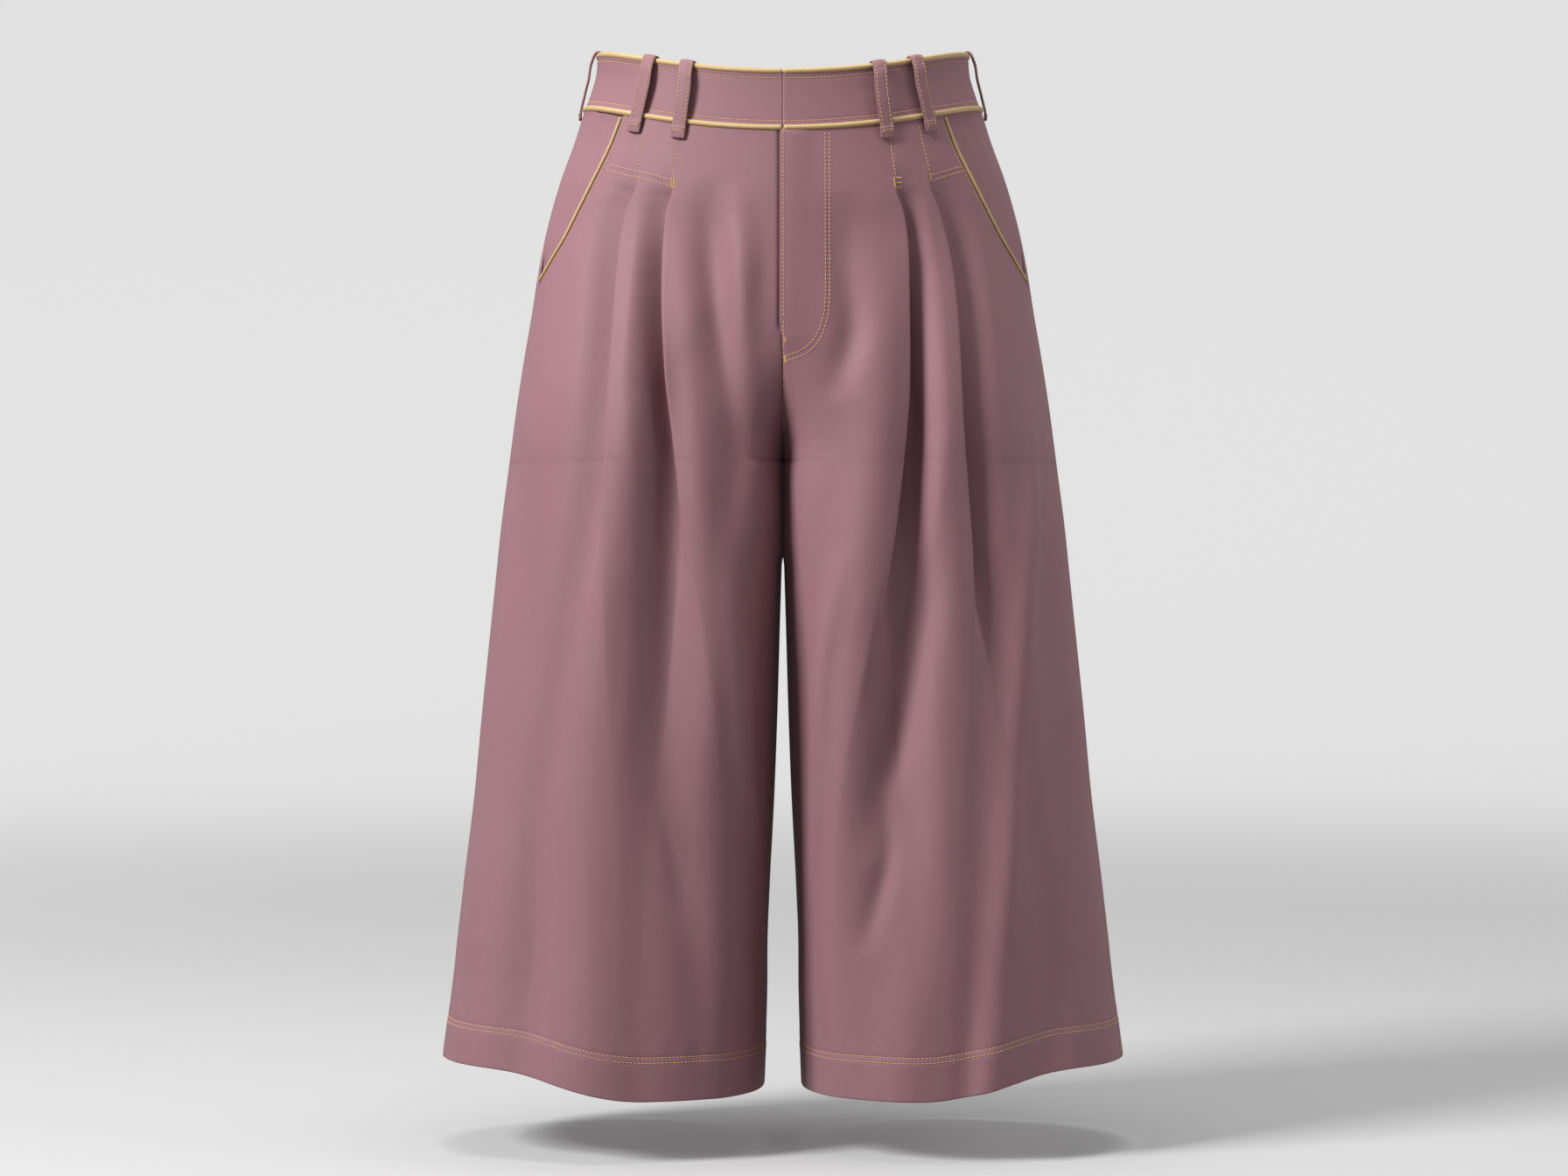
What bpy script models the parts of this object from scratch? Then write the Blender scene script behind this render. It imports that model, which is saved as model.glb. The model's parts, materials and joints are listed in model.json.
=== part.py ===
"""Wide-leg culottes, filled out as worn, for Blender 4.5.

Metres, +Z up. The front faces -Y and the wearer's left is +X. The origin is the centre of the
waist opening, level with the waistband's top edge at the side seams.

A place on the garment is given by its drop, the distance below that top edge at the side seams,
and by an angle round the body or round one leg: 0 at the side, positive towards the front and
negative towards the back. Above the crotch a ring ends at the centre front and centre back, and
below it at the inseam. Everything is worked out for the wearer's left and mirrored for the right.
"""

import math
from collections import namedtuple

import bpy
import numpy as np

MM = 0.001

# Cloth and seams
CLOTH = 1.2 * MM
SEAM_GAP = 0.3 * MM
BAND_CLOTH = 2.4 * MM
HEM_TURN_UP = 1.0 * MM

# Heights, as drops below the waistband's top edge at the side seams
WAIST_SEAM = 41 * MM
CROTCH = 300 * MM
HEM = 750 * MM
HEM_DEPTH = 29 * MM
LEGS_START = 110 * MM
POCKET_END = 174 * MM

# The waist dips at the centre front, and the hem rises towards the side seams
FRONT_WAIST_DIP = 24 * MM
WAIST_DIP_ENDS = 300 * MM
SIDE_HEM_RISE = 20.5 * MM
HEM_RISE_STARTS = 600 * MM

# Piping, belt loops and fly
WAIST_PIPING_RADIUS = 2.0 * MM
WAIST_PIPING_PROUD = -0.2 * MM
POCKET_PIPING_RADIUS = 1.2 * MM
LOOP_WIDTH = 10 * MM
LOOP_CLOTH = 1.3 * MM
FLY_OVERLAP = 2.0 * MM
FLY_RISE = 1.6 * MM
FLY_REACH = 22 * MM
FLY_LAP_ENDS = (196 * MM, 208 * MM)
FLY_RISE_ENDS = (206 * MM, 226 * MM)
POCKET_UNDERLAP = 9 * MM
POCKET_SINK = 2.3 * MM

MAUVE = (0.330, 0.170, 0.196, 1.0)
GOLD = (0.62, 0.43, 0.20, 1.0)

# A squareness of 2 is an ellipse, and more has fuller corners. Each leg has one for its outer half
# and one for its inner half.
Section = namedtuple(
    "Section", "drop half_width front_depth back_depth inner_gap outer_squareness inner_squareness"
)
SECTIONS = [
    Section(0, 135.3, 99, 96, 0, 2, 2.6),
    Section(19, 136.4, 100, 98, 0, 2, 2.6),
    Section(30, 140.0, 101.5, 100.5, 0, 2, 2.6),
    Section(41, 144.5, 103.5, 103.5, 0, 2, 2.6),
    Section(63, 151.5, 106.5, 109.5, 0, 2, 2.6),
    Section(95, 163, 110, 118, 0, 2, 2.8),
    Section(127, 172, 112.5, 125, 0, 2, 3),
    Section(159, 178.5, 114.5, 129.5, 0, 2, 3.3),
    Section(191, 183.5, 116, 131, 0, 1.98, 3.6),
    Section(223, 189, 117, 130, 0, 1.92, 4),
    Section(255, 194, 118, 127, 0.1, 1.86, 4.3),
    Section(300, 200, 118.5, 122, 0.3, 1.82, 4.4),
    Section(351, 206.5, 118.5, 119, 0.35, 1.85, 4.1),
    Section(375, 208.9, 118.3, 118.3, 0.9, 1.88, 3.9),
    Section(415, 213, 117.5, 117, 2.1, 1.93, 3.6),
    Section(479, 219.5, 116.5, 115.5, 3.9, 1.99, 3.3),
    Section(543, 225.5, 115, 114.5, 6.3, 2, 3.05),
    Section(607, 233.3, 113.5, 113.5, 9.6, 2, 2.85),
    Section(644, 237.1, 112.7, 113, 11.1, 2, 2.75),
    Section(685, 240.6, 111.8, 112.5, 11.4, 2, 2.65),
    Section(724, 244.8, 110.8, 112, 12.6, 2, 2.6),
    Section(750, 248, 110, 112, 13.6, 2, 2.6),
]
BACK_SQUARENESS = 2.6

# Where the side seam runs, as an angle in front of the widest point
SeamPoint = namedtuple("SeamPoint", "drop angle")
SIDE_SEAM = [SeamPoint(0, 5), SeamPoint(174, 8), SeamPoint(300, 10), SeamPoint(750, 14)]
POCKET_MOUTH = [
    SeamPoint(41, 38.6), SeamPoint(76, 35.6), SeamPoint(112, 30.8), SeamPoint(146, 23.9),
    SeamPoint(162, 17.2), SeamPoint(174, 8),
]

# A pleat's fold line as seen from the front, and the shape of its fold: how far the top layer
# laps over (negative once the pleat has opened), how deep the fold is, and its bend radius.
PleatPoint = namedtuple("PleatPoint", "drop inner_x outer_x lap depth bend")
PLEATS = {
    "left": [
        PleatPoint(41, 78.0, 101.5, -0.8, 0.5, 0.8),
        PleatPoint(84, 79.3, 103.2, -0.8, 0.7, 0.8),
        PleatPoint(91, 79.8, 104.0, -0.8, 1.9, 0.8),
        PleatPoint(97, 80.6, 105.2, -0.4, 3.9, 0.8),
        PleatPoint(106, 81.8, 107.0, 1.8, 5.6, 0.85),
        PleatPoint(120, 83.0, 109.5, 3.2, 7.4, 0.9),
        PleatPoint(149, 84.2, 115.0, 4.0, 10.2, 0.9),
        PleatPoint(182, 85.0, 118.5, 4.0, 12.7, 0.9),
        PleatPoint(217, 85.2, 120.5, 3.8, 14.6, 0.9),
        PleatPoint(251, 84.0, 121.9, 3.4, 16.1, 1.0),
        PleatPoint(284, 81.9, 123.8, 2.9, 16.4, 1.1),
        PleatPoint(321, 78.5, 127.3, 2.0, 15.9, 1.5),
        PleatPoint(358, 74.6, 131.4, 0.2, 13.9, 2.4),
        PleatPoint(408, 69.3, 137.4, -5.0, 11.0, 4.5),
        PleatPoint(470, 65.6, 142.9, -13.0, 8.4, 7.5),
        PleatPoint(540, 62.6, 147.9, -22.0, 6.6, 10.0),
        PleatPoint(750, 66.0, 160.0, -34.0, 0.8, 12.0),
    ],
    "right": [
        PleatPoint(41, 76.5, 101.5, -0.8, 0.5, 0.8),
        PleatPoint(84, 77.3, 103.2, -0.8, 0.7, 0.8),
        PleatPoint(91, 77.8, 104.0, -0.8, 1.9, 0.8),
        PleatPoint(97, 78.3, 105.2, -0.4, 3.9, 0.8),
        PleatPoint(106, 79.2, 107.0, 1.8, 5.4, 0.85),
        PleatPoint(120, 79.4, 109.4, 3.2, 7.2, 0.9),
        PleatPoint(149, 80.0, 112.0, 4.0, 12.6, 0.9),
        PleatPoint(182, 80.2, 114.0, 4.0, 15.6, 0.9),
        PleatPoint(217, 79.0, 116.0, 3.6, 15.8, 1.0),
        PleatPoint(251, 76.8, 118.1, 2.8, 15.1, 1.2),
        PleatPoint(284, 73.9, 120.6, 1.4, 13.7, 1.6),
        PleatPoint(321, 71.5, 123.6, -0.8, 11.7, 2.2),
        PleatPoint(358, 69.3, 127.2, -4.0, 10.1, 3.4),
        PleatPoint(408, 66.9, 132.5, -10.0, 8.0, 5.8),
        PleatPoint(470, 65.4, 137.9, -17.0, 7.4, 8.6),
        PleatPoint(540, 64.4, 143.0, -25.0, 4.4, 11.0),
        PleatPoint(750, 66.0, 156.0, -34.0, 0.8, 12.0),
    ],
}
OUTER_PLEAT_DEPTH = 0.8
FOLD_MARGIN = 2 * MM
PLEAT_RUN = 32 * MM

# Soft folds of the draped cloth: each is a ridge (positive height) or a trough (negative) that
# runs down the leg. x is its place as seen from the front or back.
Fold = namedtuple("Fold", "width points")
FoldPoint = namedtuple("FoldPoint", "drop x height")


def fold(width, *points):
    return Fold(width, [FoldPoint(*p) for p in points])


FRONT_FOLDS = {
    "left": [
        fold(11.4, (90, 42, 0), (150, 44.6, -4.5), (205, 48.6, -6.2), (260, 36, 0)),
        fold(18.9, (90, 57, 0), (150, 58.4, 0.4), (272, 64.4, 5.5), (346, 59.9, 8.6), (445, 51, 8.1),
             (543, 43.8, 6.7), (642, 36.7, 4.1), (750, 38, 1.4)),
        fold(13.5, (140, 92, 0), (217, 93.1, -5.8), (321, 92.1, -6.5), (395, 98.9, -8.9),
             (445, 92.1, -6.6), (494, 80.9, -5.7), (543, 67.5, -3.7), (585, 60, 0)),
        fold(8.4, (535, 71, 0), (575, 72.9, -4.4), (615, 63.9, -4.1), (650, 56, 0)),
        fold(21.9, (110, 104, 0), (241, 106.6, 0.7), (346, 107.7, 0.4), (445, 109.2, -0.2),
             (543, 106.4, 3.4), (593, 101.6, 5.4), (654, 99.4, 6), (750, 85.4, 3.8)),
        fold(12, (180, 127, 0), (241, 127.7, -0.2), (346, 132.7, -1.5), (445, 136.3, -3.1),
             (593, 137, -1.2), (750, 130, -3.4)),
        fold(12.3, (240, 176, 0), (346, 175, 6.3), (445, 169, 5.1), (593, 159.6, 5.5),
             (673, 151.1, 3.2), (750, 142.5, 4.1)),
        fold(24.4, (250, 190, 0), (346, 190.6, -1.7), (445, 192.9, -5.9), (543, 195.8, -7.1),
             (654, 195.8, -5.3), (750, 187, -5.6)),
        fold(8, (360, 42, 0), (432, 30.2, 5.4), (537, 25.8, 4.1), (620, 19.7, 0.8), (720, 17, 0)),
    ],
    "right": [
        fold(12.1, (80, 51, 0), (150, 51, -8), (220, 42, -5.8), (290, 31, -4), (330, 30, 0)),
        fold(8.6, (80, 33, 0), (140, 29.3, 5.5), (220, 27.5, 3.5), (290, 22, 0)),
        fold(11.4, (120, 68, 0), (217, 66.9, 3.9), (346, 57, 4.8), (445, 48.9, 4), (543, 51.3, 0.7),
             (593, 52.2, 0.8), (650, 45.7, 2.2), (750, 45, 1.5)),
        fold(18, (140, 88, 0), (251, 77.8, -4.9), (346, 85.7, -3.3), (407, 82.4, -3.6),
             (470, 79.6, -3.9), (543, 75.9, -5.7), (593, 67.5, -6.2), (642, 61.7, -3.3),
             (750, 54.1, -0.8)),
        fold(23.1, (110, 105, 0), (241, 103.9, 5), (309, 112.8, 7.1), (370, 120.8, 6.5),
             (457, 132, 4.4), (531, 138, 1), (654, 136, 0.5), (750, 130, 3.6)),
        fold(10, (240, 178, 0), (321, 172, -0.2), (420, 164.1, -0.2), (494, 157, 0)),
        fold(25, (260, 190, 0), (445, 184, -6.6), (543, 182, -9), (654, 181, -9.6), (750, 187, -5.6)),
        fold(8.5, (340, 40, 0), (420, 34.4, 4.8), (500, 28.6, 4.8), (600, 18.1, 1.9), (720, 15, 0)),
    ],
}
BACK_FOLDS = [
    fold(24, (200, 60, 0), (300, 62, -2.0), (420, 60, -4.6), (560, 58, -5.0), (750, 54, -3.0)),
    fold(24, (220, 104, 0), (340, 106, 2.5), (480, 108, 5.0), (620, 110, 5.2), (750, 112, 3.4)),
    fold(20, (250, 150, 0), (380, 156, -2.5), (520, 162, -4.6), (640, 166, -4.6), (750, 170, -3.0)),
    fold(14, (300, 24, 0), (400, 28, 2.6), (560, 26, 3.0), (750, 28, 1.5)),
    fold(16, (90, 62, 0), (110, 62, -1.2), (150, 60, 0)),
]

# Front panel columns: side seam to outer pleat, the pleat's own fold, the cloth between the
# pleats, the inner pleat's fold, and on to the centre front or inseam.
FOLD_STEPS = 8
FRONT_COLUMNS = np.cumsum([0, 7, FOLD_STEPS, 3, FOLD_STEPS, 8])
BACK_COLUMN_COUNT = 22
FRONT_ROWS = [43.2, 62, 80, 89, 95, 101, 109, 122, 138, 152, 163, 169.5, 174, 196, 208, 226, 248,
              270, 288, 300, 325, 360, 405, 455, 510, 570, 630, 690, 723, 724.5, 750]
BACK_ROWS = [43.2, 70, 100, 128, 155, 182, 208, 230, 252, 270, 286, 300, 330, 380, 440, 510, 580,
             650, 723, 724.5, 750]



def smoothstep(t):
    t = np.clip(t, 0, 1)
    return t * t * (3 - 2 * t)


def faded(drop, start, end):
    """1 above start, falling smoothly to 0 at end."""
    return 1 - smoothstep((drop - start) / (end - start))


def along(table, column, drop):
    """One column of a table at any drop: a smooth curve through the table's rows, in metres."""
    drops = np.array([row.drop for row in table], float) * MM
    values = np.array([getattr(row, column) for row in table], float) * MM
    slopes = np.gradient(values, drops)
    drop = np.clip(drop, drops[0], drops[-1])
    i = np.clip(np.searchsorted(drops, drop) - 1, 0, len(drops) - 2)
    step = drops[i + 1] - drops[i]
    t = (drop - drops[i]) / step
    return (
        values[i] * (1 + 2 * t) * (1 - t) ** 2
        + slopes[i] * step * t * (1 - t) ** 2
        + values[i + 1] * t * t * (3 - 2 * t)
        - slopes[i + 1] * step * t * t * (1 - t)
    )


def angle_along(table, drop):
    return np.radians(along(table, "angle", drop) / MM)


def squareness(angle, drop):
    outer, inner = (along(SECTIONS, half + "_squareness", drop) / MM for half in ("outer", "inner"))
    return np.where(np.cos(angle) < -1e-9, np.where(angle > 0, inner, BACK_SQUARENESS), outer)


def ring(drop, front):
    """Centre, half width, depth and end angle of the front or back half of a ring.

    parted says how far the body has become two legs: 0 is the body and 1 is at the crotch.
    """
    half_width = along(SECTIONS, "half_width", drop)
    gap = along(SECTIONS, "inner_gap", drop)
    depth = np.where(front, along(SECTIONS, "front_depth", drop), along(SECTIONS, "back_depth", drop))
    parted = smoothstep((drop - LEGS_START) / (CROTCH - LEGS_START))
    half = (half_width - gap) / (1 + parted)
    power = squareness(np.where(front, np.pi, -np.pi), drop)
    end = np.arctan2((1 - parted**power) ** (1 / power), -parted)
    return half_width - half, half, depth, end


def outline(angle, drop, front):
    """The ring's own curve, as x and the distance in front of the widest point."""
    centre, half, depth, _ = ring(drop, front)
    power = squareness(angle, drop)
    swell = (np.abs(np.cos(angle)) ** power + np.abs(np.sin(angle)) ** power) ** (-1 / power)
    return centre + half * np.cos(angle) * swell, depth * np.sin(angle) * swell


def outline_slope(angle, drop, front):
    """How fast the ring's curve runs along x and forwards, for each radian."""
    step = 1e-5
    after, before = outline(angle + step, drop, front), outline(angle - step, drop, front)
    return (after[0] - before[0]) / (2 * step), (after[1] - before[1]) / (2 * step)


def ring_speed(angle, drop):
    """Metres of cloth for each radian round a ring."""
    return np.hypot(*outline_slope(angle, drop, angle > 0))


def angle_at(x, drop, front=True):
    """The angle at which a ring reaches x, as seen from the front."""
    low, high = np.full(np.shape(x), 0.02), np.full(np.shape(x), np.pi - 0.02)
    sign = np.where(front, 1, -1)
    for _ in range(40):
        middle = (low + high) / 2
        beyond = outline(sign * middle, drop, front)[0] > x
        low, high = np.where(beyond, middle, low), np.where(beyond, high, middle)
    return low


def height(angle, drop):
    """The height of a place: the waist dips at the front, and the hem rises at the side."""
    dip_left = faded(drop, WAIST_SEAM, WAIST_DIP_ENDS)
    deeper = 1 + 0.06 * np.clip(drop / WAIST_SEAM, 0, 1)
    dip = FRONT_WAIST_DIP * deeper * np.where(angle > 0, np.sin(angle) ** 2, 0) * dip_left
    side = smoothstep((np.cos(angle) + 0.3) / 1.05)
    rise = SIDE_HEM_RISE * side * smoothstep((drop - HEM_RISE_STARTS) / (HEM - HEM_RISE_STARTS))
    return -drop - dip + rise


def place(angle, out, drop):
    """The point at an angle and a drop, moved outwards by out, for the wearer's left side."""
    front = angle > 0
    x, forward = outline(angle, drop, front)
    dx, dforward = outline_slope(angle, drop, front)
    speed = np.hypot(dx, dforward)
    x, forward = x + out * dforward / speed, forward - out * dx / speed
    return np.stack([x, -forward, height(angle, drop)], -1)


def soft_folds(folds, angle, drop, front, start, end):
    """The sum of the folds' heights: each is a bell curve across the leg, faded out at the seams."""
    total = np.zeros(np.broadcast(angle, drop).shape)
    _, half, depth, _ = ring(drop, front)
    size = np.sqrt(half * depth)
    for one in folds:
        centre = angle_at(along(one.points, "x", drop), drop, front)
        away = (np.abs(angle) - centre) * size / (one.width * MM)
        inside = (drop >= one.points[0].drop * MM) & (drop <= one.points[-1].drop * MM + 1e-5)
        total = total + np.where(inside, along(one.points, "height", drop), 0) * np.exp(-away * away)
    return total * smoothstep((angle - start) * size / 0.014) * smoothstep((end - angle) * size / 0.016)


def fold_profile(share, lap, depth, bend):
    """A knife pleat's fold from its lower layer (share 0) to its top layer (share 1).

    Two round bends of one radius are joined by a straight middle layer, and the second half is
    the first turned about the fold's middle. across is positive towards the side seam.
    """
    reach = np.abs(lap) + FOLD_MARGIN
    bend = np.minimum(bend, 0.98 * (lap * lap + depth * depth / 4) / depth)
    to_centre = np.hypot(lap, depth / 2 - bend)
    rise = np.arctan2(depth / 2 - bend, lap)
    rise = np.where(rise < 0, rise + 2 * np.pi, rise)
    turn = np.pi - rise + np.arcsin(bend / to_centre)
    straight = np.sqrt(to_centre**2 - bend**2)

    flat_effort = 0.3 * (reach + lap) + 0.7 * FOLD_MARGIN * np.clip(1 - depth / (5 * MM), 0, 1)
    bend_effort = turn * (bend + 2 * MM * np.clip(depth / (5 * MM), 0.02, 1))
    total = flat_effort + bend_effort + straight
    effort = total * (1 - np.abs(2 * share - 1))
    flat = np.clip(effort / flat_effort, 0, 1)
    bent = turn * np.clip((effort - flat_effort) / bend_effort, 0, 1)
    middle = np.clip((effort - flat_effort - bend_effort) / straight, 0, 1)

    across = reach - (reach + lap) * flat - bend * np.sin(bent)
    out = bend - depth - bend * np.cos(bent)
    across = across * (1 - middle)
    out = out + (-depth / 2 - out) * middle
    top = share > 0.5
    return np.where(top, -across, across), np.where(top, -depth - out, out)


def front_cloth(column, drop, side):
    """The middle of the front panel's cloth at a column, which may lie between two columns."""
    column, drop = np.broadcast_arrays(np.clip(column, 0, FRONT_COLUMNS[-1]), np.asarray(drop, float))
    table = PLEATS[side]
    lap, depth, bend = (along(table, name, drop) for name in ("lap", "depth", "bend"))
    mouth = np.where(drop < POCKET_END, angle_along(POCKET_MOUTH, drop), angle_along(SIDE_SEAM, drop))
    _, _, _, end = ring(drop, True)
    lap_over = FLY_OVERLAP * faded(drop, *FLY_LAP_ENDS) if side == "left" else 0
    end = end + (lap_over - SEAM_GAP / 2) / ring_speed(end, drop)
    start = mouth + SEAM_GAP / 2 / ring_speed(mouth, drop)

    pleat_angle, pleat_depth, pleat_speed = {}, {}, {}
    for name, share in (("outer", OUTER_PLEAT_DEPTH), ("inner", 1.0)):
        pleat_angle[name] = angle_at(along(table, name + "_x", drop), drop)
        pleat_depth[name] = depth * share
        pleat_speed[name] = ring_speed(pleat_angle[name], drop)
    reach = np.abs(lap) + FOLD_MARGIN
    c = FRONT_COLUMNS
    knots = [
        start,
        pleat_angle["outer"] - reach / pleat_speed["outer"],
        pleat_angle["outer"] + reach / pleat_speed["outer"],
        pleat_angle["inner"] - reach / pleat_speed["inner"],
        pleat_angle["inner"] + reach / pleat_speed["inner"],
        end,
    ]
    angle, out = np.zeros(column.shape), np.zeros(column.shape)
    for i, pleat in ((0, "outer"), (2, "inner"), (4, None)):
        share = np.clip((column - c[i]) / (c[i + 1] - c[i]), 0, 1)
        if pleat == "outer":
            share = share * (1.4 - 0.4 * share)  # the columns crowd towards the pleat
        here = (column >= c[i]) & (column <= c[i + 1])
        angle = np.where(here, knots[i] + (knots[i + 1] - knots[i]) * share, angle)
        if pleat:
            stretch = (knots[i + 1] - knots[i]) * pleat_speed[pleat]
            run = np.minimum(stretch, PLEAT_RUN)
            sunk = smoothstep(1 - (1 - share) * stretch / run)
            out = np.where(here, -pleat_depth[pleat] * sunk, out)
    for i, pleat in ((1, "outer"), (3, "inner")):
        here = (column > c[i]) & (column < c[i + 1])
        share = np.clip((column - c[i]) / (c[i + 1] - c[i]), 0, 1)
        across, lift = fold_profile(share, lap, pleat_depth[pleat], bend)
        angle = np.where(here, pleat_angle[pleat] - across / pleat_speed[pleat], angle)
        out = np.where(here, lift, out)
    out = out + soft_folds(FRONT_FOLDS[side], angle, drop, True, mouth, end)
    if side == "left":
        from_edge = (end - angle) * ring_speed(end, drop) / FLY_REACH
        out = out + FLY_RISE * faded(drop, *FLY_RISE_ENDS) * smoothstep(1.2 - from_edge)
    return place(angle, out - CLOTH / 2, drop)


def back_cloth(column, drop, side):
    """The middle of the back panel's cloth: column 0 is the centre back or inseam, 1 the side seam."""
    column, drop = np.broadcast_arrays(np.asarray(column, float), np.asarray(drop, float))
    seam = angle_along(SIDE_SEAM, drop)
    start = seam - SEAM_GAP / 2 / ring_speed(seam, drop)
    _, _, _, end = ring(drop, False)
    end = end - SEAM_GAP / 2 / ring_speed(-end, drop)
    angle = (start + end) * column - end
    out = soft_folds(BACK_FOLDS, -angle, drop, False, -seam, end)
    return place(angle, out - CLOTH / 2, drop)


def facing_cloth(column, drop, side):
    """The hip piece behind the pocket's mouth, sunk under the front panel's cloth."""
    column, drop = np.broadcast_arrays(np.asarray(column, float), np.asarray(drop, float))
    seam = angle_along(SIDE_SEAM, drop)
    mouth = np.where(drop < POCKET_END, angle_along(POCKET_MOUTH, drop), seam)
    start = seam + SEAM_GAP / 2 / ring_speed(seam, drop)
    end = mouth + POCKET_UNDERLAP / ring_speed(mouth, drop)
    angle = start + (end - start) * column
    sunk_share = np.clip((angle - start) / np.maximum(mouth - start, 1e-4), 0, 1)
    sunk = np.maximum(smoothstep(sunk_share * 1.25), smoothstep((drop - 0.135) / 0.025))
    return place(angle, -CLOTH / 2 - POCKET_SINK * sunk, drop)


def normals(surface, column, drop, side):
    """Outward unit normals of a cloth surface, from small steps along and down it."""
    e_column, e_drop = 1e-4, 1e-6
    across = surface(column + e_column, drop, side) - surface(column - e_column, drop, side)
    down = surface(column, drop + e_drop, side) - surface(column, drop - e_drop, side)
    n = np.cross(across, down)
    return n / np.linalg.norm(n, axis=-1, keepdims=True)


def thickness(drop):
    """The cloth's thickness inwards of its middle: the hem is turned up on the inside."""
    return CLOTH / 2 + np.where(drop > HEM - HEM_DEPTH + 1 * MM, HEM_TURN_UP, 0)


def mirrored(points, side):
    return points if side == "left" else points * np.array([-1.0, 1.0, 1.0])


def new_object(name, mesh, material):
    obj = bpy.data.objects.new(name, mesh)
    mesh.materials.append(material)
    collection.objects.link(obj)
    return obj


def wall(name, outer, inner, side, material):
    """A closed wall between two grids of points with the same rows and columns."""
    rows, columns = outer.shape[:2]
    points = np.concatenate([mirrored(grid, side).reshape(-1, 3) for grid in (outer, inner)])
    index = np.arange(rows * columns).reshape(rows, columns)
    a, b, c, d = index[:-1, :-1], index[:-1, 1:], index[1:, 1:], index[1:, :-1]
    quads = np.stack([a, b, c, d], -1).reshape(-1, 4)
    edge = np.concatenate([index[0, :], index[1:, -1], index[-1, -2::-1], index[-2:0:-1, 0]])
    following = np.roll(edge, -1)
    inside = rows * columns
    rim = np.stack([edge, edge + inside, following + inside, following], -1)
    faces = np.concatenate([quads, quads[:, ::-1] + inside, rim])
    if side == "right":
        faces = faces[:, ::-1]
    mesh = bpy.data.meshes.new(name)
    mesh.from_pydata(points.tolist(), [], faces.tolist())
    mesh.validate()
    mesh.shade_smooth()
    mesh.set_sharp_from_angle(angle=math.radians(62))
    return new_object(name, mesh, material)


def cloth_wall(name, surface, columns, drops, side, material):
    """A panel: its middle surface moved out by half the cloth and in by the rest."""
    column, drop = np.meshgrid(columns, drops)
    middle = surface(column, drop, side)
    normal = normals(surface, column, drop, side)
    outer = middle + normal * CLOTH / 2
    inner = middle - normal * thickness(drop)[..., None]
    return wall(name, outer, inner, side, material)


def make_panels(material):
    front_columns = np.arange(FRONT_COLUMNS[-1] + 1)
    back_columns = np.linspace(0, 1, BACK_COLUMN_COUNT)
    for side in ("left", "right"):
        cloth_wall("front_" + side, front_cloth, front_columns, np.array(FRONT_ROWS) * MM, side, material)
        cloth_wall("back_" + side, back_cloth, back_columns, np.array(BACK_ROWS) * MM, side, material)
        rows = [d for d in FRONT_ROWS if d < 175] + [182]
        cloth_wall("pocket_facing_" + side, facing_cloth, np.linspace(0, 1, 8),
                   np.array(rows) * MM, side, material)


def band_point(angle, out, drop):
    return place(np.asarray(angle, float), np.asarray(out, float), np.asarray(drop, float))


def make_waistband(material):
    """Four curved bands: each runs from a side seam to the centre front or the centre back."""
    drops = np.linspace(2 * WAIST_PIPING_RADIUS + SEAM_GAP, WAIST_SEAM - 2.2 * MM, 6)
    seam = angle_along(SIDE_SEAM, np.zeros(1))[0]
    gap = SEAM_GAP / 2 / ring_speed(np.array(seam), np.zeros(1))[0]
    stretches = (
        ("front", np.linspace(seam + gap, np.pi / 2, 14), -1),
        ("back", np.linspace(-np.pi / 2, seam - gap, 15), 0),
    )
    for side in ("left", "right"):
        for half, angles, centre_column in stretches:
            angle, drop = np.meshgrid(angles, drops)
            outer, inner = band_point(angle, 0, drop), band_point(angle, -BAND_CLOTH, drop)
            for face in (outer, inner):
                face[:, centre_column, 0] = SEAM_GAP / 2
            wall("waistband_" + half + "_" + side, outer, inner, side, material)


def tube(name, points, radius, material):
    """A round cord along points, with flat ends."""
    curve = bpy.data.curves.new(name, "CURVE")
    curve.dimensions = "3D"
    curve.bevel_depth = radius
    curve.bevel_resolution = 2
    curve.use_fill_caps = True
    curve.fill_mode = "FULL"
    spline = curve.splines.new("POLY")
    spline.points.add(len(points) - 1)
    spline.points.foreach_set("co", np.c_[points, np.ones(len(points))].ravel())
    spline.use_smooth = True
    return new_object(name, curve, material)


def make_waist_piping(material):
    """Piping round the waistband's top edge and round the waist seam, open at the centre front."""
    half_turn = np.linspace(np.pi / 2, -np.pi / 2, 31)
    for name, drop, out in (
        ("piping_waist_top", WAIST_PIPING_RADIUS, -BAND_CLOTH / 2 + 0.4 * MM),
        ("piping_waist_seam", WAIST_SEAM, WAIST_PIPING_PROUD),
    ):
        left = band_point(half_turn, out, np.full(half_turn.shape, drop))
        left[0, 0] = SEAM_GAP
        left[-1, 0] = 0
        right = left[-2::-1] * np.array([-1.0, 1.0, 1.0])
        tube(name, np.concatenate([left, right]), WAIST_PIPING_RADIUS, material)


def make_pocket_piping(material):
    """Piping in the corner between the front panel's mouth edge and the hip piece."""
    drops = np.array([45.5, 62, 80, 95, 109, 122, 138, 146, 152, 158, 163, 166]) * MM
    mouth = angle_along(POCKET_MOUTH, drops)
    speed = ring_speed(mouth, drops)
    slant = np.gradient(mouth, drops) * speed
    beside = (POCKET_PIPING_RADIUS + 1.7 * SEAM_GAP) * np.hypot(1, slant) / speed
    points = place(mouth - beside, np.full(drops.shape, 0.1 * MM), drops)
    for side in ("left", "right"):
        tube("piping_pocket_" + side, mirrored(points, side), POCKET_PIPING_RADIUS, material)


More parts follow.
